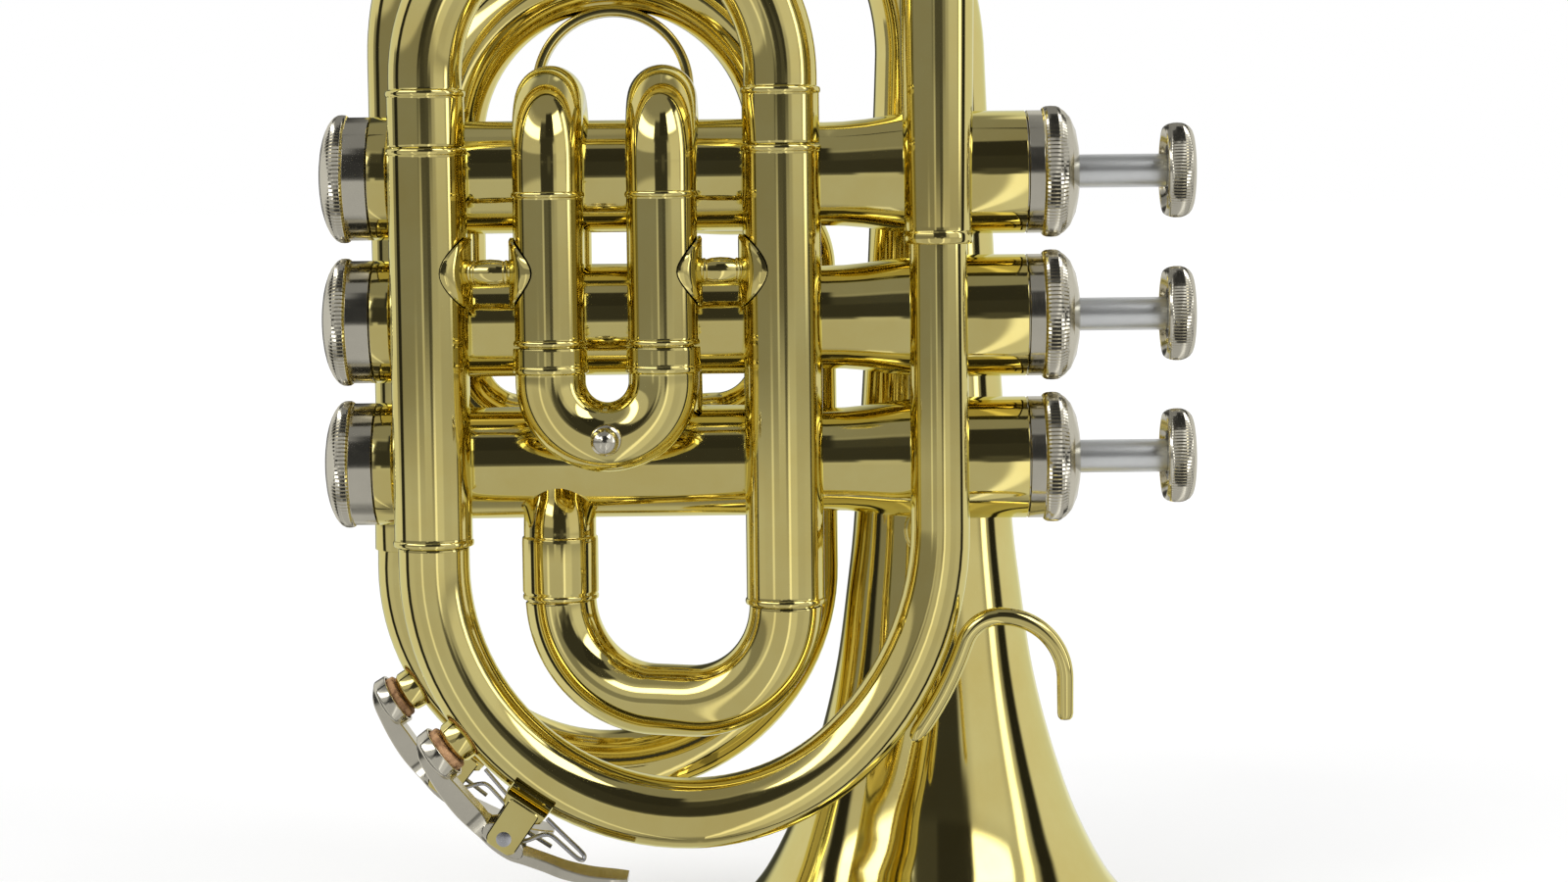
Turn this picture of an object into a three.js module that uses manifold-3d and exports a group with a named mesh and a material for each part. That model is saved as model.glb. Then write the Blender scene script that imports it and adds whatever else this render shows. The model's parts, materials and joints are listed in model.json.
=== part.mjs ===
// Pocket trumpet: three valves with their slides, a lead pipe, a wrapped bell and two water keys
// Millimetres. +Z runs from the bell's rim up to the mouthpiece receiver, +X towards the finger
// buttons, and -Y towards the viewer. The origin is the centre of the bell's rim.
import * as THREE from 'three';
import { mergeVertices } from 'three/addons/utils/BufferGeometryUtils.js';
import Module from 'manifold-3d';

const wasm = await Module();
wasm.setup();

// Clearances used all over the horn
const seam = 0.3; // between two pieces that are soldered or seated together
const running = 0.3; // radial gap between pieces that slide or turn
const overrun = 3; // how far a cutting solid runs past what it cuts
const weld = 0.0001; // points closer than this are one point
const tinyStep = 0.0003; // length over which a tube's radius steps
const wall = 0.6; // sheet thickness of plain tubing

// Facets round each kind of piece, and steps round a half turn
const tubeSides = 12;
const valveSides = 16;
const bellSides = 20;
const smallSides = 8;
const boreSides = 8;
const wideBowSteps = 10;
const narrowBowSteps = 6;

// Layout: depths of the tubing planes, measured from the bell's axis
const plane = { bell: 0, rearSlide: -13, valve: -31, entry: -36.5, front: -50, firstSlide: -52.5 };

// Valves, numbered from the mouthpiece end, and the two places along a casing where tubes enter
const valve = { pitch: 25.4, topHeight: 145.5, stroke: 15 };
const port = { low: -67.9, high: -48.5 };
const valveCount = 3;
const thirdValve = valveCount;
const secondValve = thirdValve - 1;
const firstValve = secondValve - 1;
const valveHeight = (number) => valve.topHeight - (number - firstValve) * valve.pitch;

// Tubing of the main bore
const main = { outer: 6.75, inner: 6.2, bow: 6.3, leg: 5.9, bead: 0.25, beadWidth: 0.9 };

// Tubing of the three valve slides
const slide = { outer: 6.05, inner: 5.6, leg: 5.3, ferrule: 6.4, bead: 0.3, beadWidth: 0.9 };

// Valve casing, cap, piston and button sizes along the valve axis (x) and across it (radius)
const casing = {
  floor: -100.3, flangeEnd: -97, flangeRadius: 10.9, bodyRadius: 9.9, taperStart: -35,
  waist: -20.4, waistRadius: 9.15, shoulder: -6.2, shoulderRadius: 10.55,
  topRadius: 10.85, topStart: 5, top: 15.2, bore: 8.6, capBore: 9.6, threadDepth: 3.6,
  barrelBore: 9.9, barrelBoreStart: -5, barrelBoreTaper: -9,
};
const bottomCap = {
  domeEnd: -109.6, domeRadius: 6.5, shoulder: -107.6, shoulderRadius: 10.2, rim: -106.6,
  rimRadius: 11.35, rimEnd: -104.7, skirtRadius: 10.9, floor: -103.4, vent: 1.2, plugWall: 1,
  edge: 0.9, domeRise: 1.1,
};
const topCap = {
  skirtEnd: 18.1, rimRadius: 11.6, rimEnd: 21.6, crown: 23.2, crownRadius: 9.6, domeEnd: 24.7,
  domeRadius: 5.2, plugDepth: 3.2, plugWall: 1, roof: 1.8, edge: 0.2,
};
const piston = {
  floor: -76, top: -26, barrelRadius: 7.4, barrelBore: 6.6, barrelTop: 11.5, barrelRoof: 1.6,
  mouth: 4.9, mouthDepth: 2.2, passage: 2.6, slotWidth: 3.8, slotStart: -23, slotEnd: 3,
};
const guide = { place: -16.5, width: 3, thickness: 2.4, seatRadius: 5.8 };
const valveSpring = { radius: 5.9, bore: 4.9 };
const stem = { radius: 2.95, end: 42.6 };
const button = {
  radius: 8.4, underside: 39.9, rim: 40.4, rimTop: 43.6, top: 45.4, socketEnd: 43, bossRadius: 4.6,
  dish: 1.4, crownRadius: 6.2, crown: 44.9,
};

// Lead pipe with its front bow, and the receiver that holds a mouthpiece
const leadPipe = {
  x: -1.1, top: 150, mouthRadius: 4.95, growthStart: 132, growthEnd: 95, lowerRadius: 5.1,
  mouthBore: 4.1, bowRise: 7.3, bowRadius: 43.85, earlyBend: 5.8, jointRise: 3.5, spigot: 6,
  growthShare: 0.5,
};
const receiver = {
  cover: 16.8, ringWidth: 2.2, ringRadius: 5.98, footRadius: 5.75, sleeveLength: 15,
  sleeveRadius: 6.2, flare: 3.5, neckRadius: 6.7, lipWidth: 4.5, lipRadius: 7.6, length: 84.8,
  socketDepth: 26, socketMouth: 5.4, socketEnd: 4.95, edge: 0.6,
};

// Main slide: two fixed outer tubes and the tuning slide between them
const upperTubeX = leadPipe.x - 2 * leadPipe.bowRadius;
const lowerTubeX = -28;
const mainTube = { top: 150.4, drop: 23.4 };
const lowerFoot = valveHeight(thirdValve) - mainTube.drop;
const tuningSlide = { legGap: 8, ferrule: 6.65, ferruleLength: 10, bowGap: 2 };

// Lower bow, from the second main tube back to the third valve, and the tube that it feeds
const lowerBow = { radius: 17.7, drop: 23.5, spigot: 6 };
const lowerBowTop = valveHeight(thirdValve) - lowerBow.drop;
const entry = {
  drop: 23.8, ferruleLength: 11.2, ferrule: 6.75, outer: 6.4, bend: Math.PI / 6, bendRadius: 8,
  reach: 9,
};

// The front bow hangs round the lower bow, and the first main tube starts just above its end
const leadBowCentre = lowerBowTop + leadPipe.bowRise;
const leadJoint = leadBowCentre + leadPipe.jointRise;

// First slide: two tubes that arch over the first valve towards the viewer, and their crook
const firstSlide = {
  archTop: 164.7, hiddenArc: Math.PI / 9, beadDrop: 21.9, tubeEnd: 116.5, ferruleLength: 4.7,
  bowGap: 1.4, legLength: 21.5, directionShare: 0.583,
};
const knob = { base: 2.7, neck: 1.5, neckLength: 1.5, ball: 2.4, baseHeight: 1.1 };

// Second slide: short, straight out behind the second valve
const secondSlide = { start: 7, tubeEnd: 2, ferruleLength: 4.5, bowGap: 1.9, legLength: 16 };

// Third slide: behind the valves, rising past the first valve, with its finger ring
const thirdSlide = {
  portAngle: 0.27, firstBend: 8.1, leftX: -88.4, rightX: -28.2, tubeEnd: 140, ferruleLength: 5,
  bowGap: 6.9, bow: 6.1, legLength: 18,
};
const fingerRing = { x: -58.5, z: 161.8, outer: 15, inner: 12.85, width: 4.6 };

// Bell branch: from the first valve round the rear front bow to the bell
const branch = {
  outer: 6.1, exitAngle: -0.157, firstBend: 12, rightX: -24.1, leftX: -98.9, bowCentre: 72.1,
  joint: 84, ferrule: 6.6, ferruleLength: 9,
};

// Bell: its flare is a table of shares of the flare's height above the rim and of the rim's radius
const bell = {
  leftTopX: -97.5, bowCentre: 168, startRadius: 6.1, leftTopRadius: 7.5, tailRadius: 10.2,
  wall: 0.8, flareHeight: 160, rimRadius: 46.5, rimWidth: 1.9, rimStep: 45,
};
const bellFlareShares = [
  [1, 0.2258], [0.8313, 0.2516], [0.6562, 0.2839], [0.4912, 0.3247], [0.4225, 0.3527],
  [0.3525, 0.3849], [0.305, 0.4161], [0.2581, 0.4559], [0.2125, 0.5022], [0.1625, 0.5624],
  [0.1175, 0.6333], [0.0875, 0.6903], [0.0713, 0.729], [0.05, 0.7914], [0.0312, 0.8581],
  [0.0181, 0.9247],
];
const bellFlare = bellFlareShares.map(([heightShare, radiusShare]) => [
  heightShare * bell.flareHeight, radiusShare * bell.rimRadius,
]);

// Finger hook: a rod along the front bow that arches over into a hook
const hook = {
  rod: 1.6, endRod: 1.4, startAngle: -0.655, leaveAngle: -0.335, neckRadius: 6.65,
  archRadius: 11.1, tail: 7.2, neckSteps: 4, archSteps: 6,
};

// Braces between the first slide and the main tubes, and between the lead pipe and the bell
const brace = {
  heightShare: 0.479, flange: 6.3, sheet: 0.7, rod: 1.6, belly: 2.2, collar: 1.95, collarWidth: 0.7,
  wrap: 2.4,
};
const bellBrace = { below: 3.85, flange: 5 };

// Water keys: a nipple on the tube, a corked lever that shuts it, and a saddle that carries it
const waterKey = {
  nippleRadius: 3.9, nippleHeight: 2.2, nippleBore: 1.3, nippleFoot: 1.6,
  cork: 4.1, corkHeight: 2.2, corkShow: 1.2, cup: 4.9, cupRoof: 1.6,
  pivotReach: 18, pivotRise: 4.2, pin: 0.9, hub: 2.1, hubSlot: 2.85, hubEnd: 4, coilGap: 1.5,
  arm: 2.4, tailHalfWidth: 4.4, post: 1.4, postGap: 0.3, postHalfLength: 2.9,
  baseHalfLength: 4.1, baseHeight: 2.2,
  wire: 0.4, coil: 1.75, curlPitch: 1.3, legLength: 8, footLength: 6.2, legSlope: 0.346,
  curlSteps: 21, coilSteps: 8, coilSides: 5,
};

// Lever outlines: shares of the pivot's reach along it, and of the hub's radius above the pivot
const armShares = [
  [0.5, 0.75], [0.8, 0.4], [1, -0.5], [1.3, -0.9], [1.42, -1.35], [1.36, -0.2], [1.15, 0.9],
  [0.9, 1.75], [0.55, 2.05], [0.2, 1.9],
];
const tailShares = [
  [1.28, -0.85], [1.6, -2.1], [1.87, -4], [2.05, -6], [2.1, -5.7], [1.93, -3.5], [1.66, -1.45],
  [1.3, 0.1],
];

// Outline of the lever's lugs round the pin, in shares of the hub's radius
const lugShares = [
  [-2, 0.4], [-1, -0.9], [1, -0.9], [2.2, -0.2], [2.2, 0.55], [0.6, 1.5], [-0.8, 1.7], [-2, 1.9],
];

// Where each key stands on its bow: the angle of its nipple
const frontKey = { angle: 3.79 };
const rearKey = { angle: 3.69 };

// Finishes
const brass = new THREE.MeshStandardMaterial({ color: 0xb8a65c, roughness: 0.22, metalness: 1 });
const nickel = new THREE.MeshStandardMaterial({ color: 0xc2beb4, roughness: 0.25, metalness: 1 });
const steel = new THREE.MeshStandardMaterial({ color: 0x8f8f92, roughness: 0.35, metalness: 1 });
const corkStuff = new THREE.MeshStandardMaterial({ color: 0xba8a5c, roughness: 0.9, metalness: 0 });
const nylon = new THREE.MeshStandardMaterial({ color: 0xe8e4da, roughness: 0.5, metalness: 0 });

// Directions
const right = new THREE.Vector3(1, 0, 0);
const left = new THREE.Vector3(-1, 0, 0);
const back = new THREE.Vector3(0, 1, 0);
const front = new THREE.Vector3(0, -1, 0);
const up = new THREE.Vector3(0, 0, 1);
const down = new THREE.Vector3(0, 0, -1);
const place = (x, y, z) => new THREE.Vector3(x, y, z);
const acrossValve = (angle) => place(0, Math.cos(angle), Math.sin(angle));
const degrees = (angle) => THREE.MathUtils.degToRad(angle);

// Turns a closed geometry into a solid that can be joined and cut
function solidOf(geometry) {
  geometry.deleteAttribute('normal');
  geometry.deleteAttribute('uv');
  const welded = mergeVertices(geometry, weld);
  const points = new Float32Array(welded.attributes.position.array);
  const faces = new Uint32Array(welded.index.array);
  return new wasm.Manifold(new wasm.Mesh({ numProp: 3, vertProperties: points, triVerts: faces }));
}

// A solid turned about an axis: the outline is pairs of [distance along the axis, radius]
function turned(start, axis, outline, sides) {
  const points = outline.map(([along, radius]) => new THREE.Vector2(radius, along));
  points.push(points[0].clone());
  const geometry = new THREE.LatheGeometry(points, sides);
  geometry.applyQuaternion(new THREE.Quaternion().setFromUnitVectors(back, axis));
  geometry.translate(start.x, start.y, start.z);
  const shape = solidOf(geometry);
  if (shape.volume() > 0) return shape;
  geometry.index.array.reverse();
  return solidOf(geometry);
}

// A plain round bar between two distances along an axis
function bar(start, axis, from, to, radius, sides) {
  return turned(start, axis, [[from, 0], [from, radius], [to, radius], [to, 0]], sides);
}

// A box given by its middle and its full sizes
function block(centre, size) {
  const geometry = new THREE.BoxGeometry(size.x, size.y, size.z);
  geometry.translate(centre.x, centre.y, centre.z);
  return solidOf(geometry);
}

// The centre line of a tube, laid piece by piece: straight runs and round bends
class Route {
  constructor(start, heading) {
    this.pieces = [];
    this.knots = [0];
    this.length = 0;
    const side = Math.abs(heading.x) < 0.5 ? right.clone() : up.clone();
    side.addScaledVector(heading, -side.dot(heading)).normalize();
    this.tip = { at: start.clone(), heading: heading.clone().normalize(), side };
  }

  line(length) {
    const from = this.tip;
    const frame = (s) => ({ ...from, at: from.at.clone().addScaledVector(from.heading, s) });
    return this.add(length, 1, frame);
  }

  bend(towards, radius, angle, steps) {
    const from = this.tip;
    const inward = towards.clone().addScaledVector(from.heading, -towards.dot(from.heading));
    inward.normalize();
    const axis = from.heading.clone().cross(inward);
    const centre = from.at.clone().addScaledVector(inward, radius);
    const frame = (s) => {
      const turn = new THREE.Quaternion().setFromAxisAngle(axis, s / radius);
      return {
        at: from.at.clone().sub(centre).applyQuaternion(turn).add(centre),
        heading: from.heading.clone().applyQuaternion(turn),
        side: from.side.clone().applyQuaternion(turn),
      };
    };
    return this.add(radius * angle, steps, frame);
  }

  add(length, steps, frame) {
    this.pieces.push({ from: this.length, to: this.length + length, frame });
    for (let i = 1; i <= steps; i += 1) this.knots.push(this.length + (length * i) / steps);
    this.length += length;
    this.tip = frame(length);
    return this;
  }

  frameAt(s) {
    const last = this.pieces.length - 1;
    const piece = this.pieces.find((p, i) => s <= p.to || i === last);
    if (s < 0 || s > piece.to) {
      const end = piece.frame(s < 0 ? 0 : piece.to - piece.from);
      const past = s < 0 ? s : s - piece.to;
      return { ...end, at: end.at.clone().addScaledVector(end.heading, past) };
    }
    return piece.frame(s - piece.from);
  }
}

// A closed solid through round rings, each with its middle, heading, side and radius
function loft(rings, sides) {
  const points = [];
  const faces = [];
  rings.forEach(({ at, heading, side, radius }, ring) => {
    const other = heading.clone().cross(side);
    for (let k = 0; k < sides; k += 1) {
      const angle = (2 * Math.PI * k) / sides;
      const point = at.clone().addScaledVector(side, radius * Math.cos(angle));
      points.push(...point.addScaledVector(other, radius * Math.sin(angle)));
      if (ring === 0) continue;
      const [a, b] = [(ring - 1) * sides + k, (ring - 1) * sides + ((k + 1) % sides)];
      faces.push(a, b, a + sides, b, b + sides, a + sides);
    }
  });
  const end = (rings.length - 1) * sides;
  for (let k = 1; k < sides - 1; k += 1) {
    faces.push(0, k + 1, k, end, end + k, end + k + 1);
  }
  const geometry = new THREE.BufferGeometry();
  geometry.setAttribute('position', new THREE.Float32BufferAttribute(points, 3));
  geometry.setIndex(faces);
  return solidOf(geometry);
}

// The radius of a profile at a distance along it
function radiusOn(profile, s) {
  const after = profile.findIndex(([at]) => at > s);
  const [[s0, r0], [s1, r1]] = [profile[after - 1], profile[after]];
  return r0 + ((r1 - r0) * (s - s0)) / (s1 - s0);
}

// A closed round solid along a route: the profile is pairs of [distance along, radius]
function rodAlong(route, profile, sides) {
  const first = profile[0][0];
  const last = profile[profile.length - 1][0];
  const rings = profile.map(([s, radius]) => ({ s, radius }));
  for (const s of route.knots) {
    if (s <= first || s >= last || profile.some(([at]) => Math.abs(at - s) < weld)) continue;
    rings.push({ s, radius: radiusOn(profile, s) });
  }
  rings.sort((a, b) => a.s - b.s);
  return loft(rings.map((ring) => ({ ...route.frameAt(ring.s), radius: ring.radius })), sides);
}

// A tube along a route, open at both ends; the bore is a profile, or one radius all the way
function tubeAlong(route, profile, bore, sides = tubeSides, sidesInside = boreSides) {
  const first = profile[0][0];
  const last = profile[profile.length - 1][0];
  const hole = Array.isArray(bore) ? [...bore] : [[first, bore], [last, bore]];
  hole.unshift([hole[0][0] - overrun, hole[0][1]]);
  hole.push([hole[hole.length - 1][0] + overrun, hole[hole.length - 1][1]]);
  return rodAlong(route, profile, sides).subtract(rodAlong(route, hole, sidesInside));
}

// Profile points for a raised bead on a tube
function beadAt(s, radius, rise, width) {
  return [[s, radius], [s + tinyStep, radius + rise], [s + width, radius + rise],
    [s + width + tinyStep, radius]];
}

// A straight tube with a bead at each end, for the outer tube of a slide
function sleeve(start, axis, length, sizes) {
  const rim = sizes.outer + sizes.bead;
  return turned(start, axis, [
    [0, sizes.inner], [0, rim], [sizes.beadWidth, rim], [sizes.beadWidth, sizes.outer],
    [length - sizes.beadWidth, sizes.outer], [length - sizes.beadWidth, rim], [length, rim],
    [length, sizes.inner],
  ], tubeSides);
}

// The space that a casing takes, with the seam round it: it cuts the ends of the tubes
function casingSpace(number, gap = seam) {
  const axis = place(0, plane.valve, valveHeight(number));
  return bar(axis, right, casing.floor, casing.waist, casing.bodyRadius + gap, valveSides);
}

// Mesh and scene building
const horn = new THREE.Group();
const madeMeshes = [];
function addPiece(name, shape, material, group = horn) {
  const { vertProperties, triVerts } = shape.getMesh();
  const geometry = new THREE.BufferGeometry();
  geometry.setAttribute('position', new THREE.BufferAttribute(vertProperties, 3));
  geometry.setIndex(new THREE.BufferAttribute(triVerts, 1));
  const mesh = new THREE.Mesh(geometry, material);
  mesh.name = name;
  group.add(mesh);
  madeMeshes.push(mesh);
  return mesh;
}

// Where the air enters and leaves each valve, and where its slide joins: angles round the valve
const entryAngle = -Math.PI / 2 - entry.bend;
const firstSlideAngle = Math.PI * firstSlide.directionShare;
const airways = [
  { entry: [port.low, -Math.PI / 2], exit: [port.high, branch.exitAngle], slide: firstSlideAngle },
  { entry: [port.high, -Math.PI / 2], exit: [port.low, Math.PI / 2], slide: 0 },
  { entry: [port.low, entryAngle], exit: [port.high, Math.PI / 2], slide: thirdSlide.portAngle },
];
const slideBore = slide.leg - wall;
const mainBore = main.leg - wall;

// Valves, each in its own group with the valve's axis on the group's X axis
function buildCasing(airway) {
  const c = casing;
  let shape = turned(place(0, 0, 0), right, [
    [c.floor, c.capBore], [c.floor, c.flangeRadius], [c.flangeEnd, c.flangeRadius],
    [c.flangeEnd, c.bodyRadius], [c.taperStart, c.bodyRadius], [c.waist, c.waistRadius],
    [c.shoulder, c.shoulderRadius], [c.topStart, c.topRadius], [c.top, c.topRadius],
    [c.top, c.barrelBore], [c.barrelBoreStart, c.barrelBore], [c.barrelBoreTaper, c.bore],
    [c.floor + c.threadDepth, c.bore], [c.floor + c.threadDepth, c.capBore],
  ], valveSides);
  for (const [x, angle] of [airway.entry, airway.exit,
    [port.low, airway.slide], [port.high, airway.slide]]) {
    const hole = bar(place(x, 0, 0), acrossValve(angle), 0, c.flangeRadius + overrun,
      slideBore, tubeSides);
    shape = shape.subtract(hole);
  }
  return shape;
}

// One passage through a piston: a bore between two places on its surface, with a wide mouth at each
function passage([fromX, fromAngle], [toX, toAngle]) {
  const radius = casing.bore - running;
  const reach = radius - piston.mouthDepth / 2;
  const ends = [[fromX, fromAngle], [toX, toAngle]].map(([x, angle]) => ({
    axis: acrossValve(angle),
    at: place(x, 0, 0).addScaledVector(acrossValve(angle), reach),
  }));
  const along = ends[1].at.clone().sub(ends[0].at);
  let shape = bar(ends[0].at, along.clone().normalize(), 0, along.length(), piston.passage,
    smallSides);
  for (const end of ends) {
    const mouthStart = -piston.mouthDepth / 2;
    shape = shape.add(bar(end.at, end.axis, mouthStart, overrun, piston.mouth, smallSides));
  }
  return shape;
}

function buildPiston(airway) {
  const p = piston;
  const radius = casing.bore - running;
  const shape = turned(place(0, 0, 0), right, [
    [p.floor, 0], [p.floor, radius], [p.top, radius], [p.top, p.barrelRadius],
    [p.barrelTop, p.barrelRadius], [p.barrelTop, stem.radius + running],
    [p.barrelTop - p.barrelRoof, stem.radius + running], [p.barrelTop - p.barrelRoof, p.barrelBore],
    [p.top + p.barrelRoof, p.barrelBore], [p.top + p.barrelRoof, 0],
  ], valveSides);
  const shifted = (x) => x + valve.stroke;
  const [entryX, entrySide] = airway.entry;
  const [exitX, exitSide] = airway.exit;
  const slot = block(
    place((p.slotStart + p.slotEnd) / 2, 0, 0),
    place(p.slotEnd - p.slotStart, 2 * (p.barrelRadius + overrun), p.slotWidth),
  );
  return shape
    .subtract(passage(airway.entry, airway.exit))
    .subtract(passage([shifted(entryX), entrySide], [shifted(entryX), airway.slide]))
    .subtract(passage([shifted(exitX), airway.slide], [shifted(exitX), exitSide]))
    .subtract(slot);
}

function buildBottomCap() {
  const b = bottomCap;
  const plug = casing.capBore - running;
  const skirtEnd = casing.floor - seam;
  const plugEnd = casing.floor + casing.threadDepth - seam;
  return turned(place(0, 0, 0), right, [
    [b.domeEnd, b.vent], [b.domeEnd + b.edge, b.domeRadius], [b.shoulder, b.shoulderRadius],
    [b.rim, b.rimRadius], [b.rimEnd, b.rimRadius], [b.rimEnd, b.skirtRadius],
    [skirtEnd, b.skirtRadius], [skirtEnd, plug], [plugEnd, plug], [plugEnd, plug - b.plugWall],
    [b.floor, plug - b.plugWall], [b.floor - b.domeRise, b.vent],
  ], valveSides);
}

function buildTopCap() {
  const t = topCap;
  const foot = casing.top + seam;
  const plug = casing.barrelBore - running;
  const hole = stem.radius + running;
  return turned(place(0, 0, 0), right, [
    [foot - t.plugDepth, plug - t.plugWall], [foot - t.plugDepth, plug], [foot, plug],
    [foot, casing.topRadius], [t.skirtEnd, casing.topRadius], [t.skirtEnd + t.edge, t.rimRadius],
    [t.rimEnd, t.rimRadius], [t.crown, t.crownRadius], [t.domeEnd, t.domeRadius],
    [t.domeEnd, hole], [t.domeEnd - t.roof, hole], [t.rimEnd - t.edge, plug - t.plugWall],
  ], valveSides);
}

function buildGuide() {
  const g = guide;
  const half = g.thickness / 2;
  const reach = casing.bore - seam;
  const barLength = 2 * Math.sqrt(reach ** 2 - (g.width / 2) ** 2) * Math.cos(Math.PI / valveSides);
  const disc = bar(place(g.place, 0, 0), right, -half, half, g.seatRadius, valveSides);
  return disc.add(block(place(g.place, 0, 0), place(g.thickness, barLength, g.width)));
}

function buildButton() {
  const b = button;
  const socket = stem.radius + seam;
  return turned(place(0, 0, 0), right, [
    [b.underside, socket], [b.underside, b.bossRadius], [b.underside + b.dish, b.bossRadius],
    [b.underside + b.dish, b.crownRadius], [b.underside, b.radius - seam], [b.rim, b.radius],
    [b.rimTop, b.radius], [b.crown, b.crownRadius], [b.top, 0], [b.socketEnd, 0],
    [b.socketEnd, socket],
  ], valveSides);
}

const stemStart = piston.barrelTop - piston.barrelRoof;
airways.forEach((airway, index) => {
  const number = index + 1;
  const group = new THREE.Group();
  group.position.set(0, plane.valve, valveHeight(number));
  horn.add(group);
  const springFoot = guide.place + guide.thickness / 2 + seam;
  const springShape = turned(place(0, 0, 0), right, [
    [springFoot, valveSpring.bore], [springFoot, valveSpring.radius],
    [stemStart - seam, valveSpring.radius], [stemStart - seam, valveSpring.bore],
  ], tubeSides);
  const pieces = [
    ['casing', buildCasing(airway), brass],
    ['bottom_cap', buildBottomCap(), nickel],
    ['top_cap', buildTopCap(), nickel],
    ['guide', buildGuide(), nylon],
    ['spring', springShape, steel],
    ['piston', buildPiston(airway), nickel],
    ['stem', bar(place(0, 0, 0), right, stemStart, stem.end, stem.radius, tubeSides), nickel],
    ['button', buildButton(), nickel],
  ];
  for (const [what, shape, material] of pieces) {
    addPiece(`valve_${number}_${what}`, shape, material, group);
  }
});

// Knuckles: the short tubes that carry the air from one casing to the next
function buildKnuckle(x, lowerValve) {
  const route = new Route(place(x, plane.valve, valveHeight(lowerValve)), up).line(valve.pitch);
  return tubeAlong(route, [[0, branch.outer], [valve.pitch, branch.outer]], slideBore)
    .subtract(casingSpace(lowerValve))
    .subtract(casingSpace(lowerValve - 1));
}
addPiece('knuckle_1_2', buildKnuckle(port.low, 2), brass);
addPiece('knuckle_2_3', buildKnuckle(port.high, 3), brass);

// Lead pipe with its front bow, ending in a spigot inside the first main tube
// Its bow starts early with a wide eighth of a turn, made up for by a tighter one, and ends round
const sideRadius = leadPipe.bowRadius + leadPipe.earlyBend * (1 + Math.SQRT1_2);
const underRadius = leadPipe.bowRadius - leadPipe.earlyBend * Math.SQRT1_2;
const leadRoute = new Route(place(leadPipe.x, plane.front, leadPipe.top), down);
leadRoute.line(leadPipe.top - leadBowCentre - leadPipe.earlyBend);
const leadBowStart = leadRoute.length;
leadRoute.bend(left, sideRadius, Math.PI / 4, narrowBowSteps / 2);
leadRoute.bend(left, underRadius, Math.PI / 4, narrowBowSteps / 2);
leadRoute.bend(up, leadPipe.bowRadius, Math.PI / 2, wideBowSteps / 2);
const leadBowEnd = leadRoute.length;
leadRoute.line(leadJoint - leadBowCentre + leadPipe.spigot);
const leadSpigot = leadRoute.length - leadPipe.spigot;
const bowOuter = main.bow - wall / 4;
const leadFullSize = leadBowStart + (leadBowEnd - leadBowStart) * leadPipe.growthShare;
const leadProfile = [
  [0, leadPipe.mouthRadius],
  [leadPipe.top - leadPipe.growthStart, leadPipe.mouthRadius],
  [leadPipe.top - leadPipe.growthEnd, leadPipe.lowerRadius],
  [leadBowStart, leadPipe.lowerRadius],
  [leadFullSize, bowOuter],
  [leadSpigot - seam, bowOuter],
  [leadSpigot - seam + tinyStep, main.leg],
  [leadRoute.length, main.leg],
];
const leadBore = [
  [0, leadPipe.mouthBore],
  [leadPipe.top - leadPipe.growthStart, leadPipe.mouthBore],
  [leadBowStart, leadPipe.lowerRadius - wall],
  [leadFullSize, mainBore],
  [leadRoute.length, mainBore],
];

// A water key stands on the outside of a bow: its frame has X along the bow, Z out of it
function keyFrame(host, key) {
  const out = place(Math.cos(key.angle), 0, Math.sin(key.angle));
  const along = place(-Math.sin(key.angle), 0, Math.cos(key.angle));
  const foot = host.centre.clone().addScaledVector(out, host.surface);
  const frame = new THREE.Matrix4().makeBasis(along, front, out).setPosition(foot);
  return { foot, out, along, frame, host };
}
const frontHost = {
  centre: place(leadPipe.x - leadPipe.bowRadius, plane.front, leadBowCentre),
  surface: leadPipe.bowRadius + bowOuter - wall / 4,
  bowRadius: leadPipe.bowRadius,
  tube: bowOuter,
};
const frontKeyFrame = keyFrame(frontHost, frontKey);

// The nipple is brazed to its tube, so it is one solid with it
function withNipple(tubeRoute, profile, bore, { foot, out }) {
  const w = waterKey;
  const nipple = bar(foot, out, -w.nippleFoot, w.nippleHeight, w.nippleRadius, tubeSides);
  const drain = bar(foot, out, -w.nippleFoot - overrun, w.nippleHeight + overrun, w.nippleBore,
    smallSides);
  const first = profile[0][0] - overrun;
  const last = profile[profile.length - 1][0] + overrun;
  const hole = [[first, bore[0][1]], ...bore, [last, bore[bore.length - 1][1]]];
  return rodAlong(tubeRoute, profile, tubeSides)
    .add(nipple)
    .subtract(rodAlong(tubeRoute, hole, boreSides))
    .subtract(drain);
}
addPiece('lead_pipe', withNipple(leadRoute, leadProfile, leadBore, frontKeyFrame), brass);

// Mouthpiece receiver, a sleeve over the lead pipe's end with a tapered socket
const r = receiver;
const pipeClear = leadPipe.mouthRadius + seam;
const neckEnd = r.length - r.lipWidth;
const receiverFoot = place(leadPipe.x, plane.front, leadPipe.top - r.cover);
addPiece('mouthpiece_receiver', turned(receiverFoot, up, [
  [0, pipeClear], [0, r.ringRadius], [r.ringWidth, r.ringRadius], [r.ringWidth, r.footRadius],
  [r.cover + r.sleeveLength, r.sleeveRadius], [neckEnd - r.flare, r.neckRadius],
  [neckEnd, r.lipRadius], [r.length - r.edge, r.lipRadius], [r.length, r.lipRadius - r.edge],
  [r.length, r.socketMouth], [r.length - r.socketDepth, r.socketEnd],
  [r.cover + seam, r.socketEnd], [r.cover + seam, pipeClear],
], tubeSides), brass);

// Main slide: fixed outer tubes
addPiece('main_tube_upper', sleeve(place(upperTubeX, plane.front, leadJoint), up,
  mainTube.top - leadJoint, main), brass);
addPiece('main_tube_lower', sleeve(place(lowerTubeX, plane.front, lowerFoot), up,
  mainTube.top - lowerFoot, main), brass);

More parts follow.
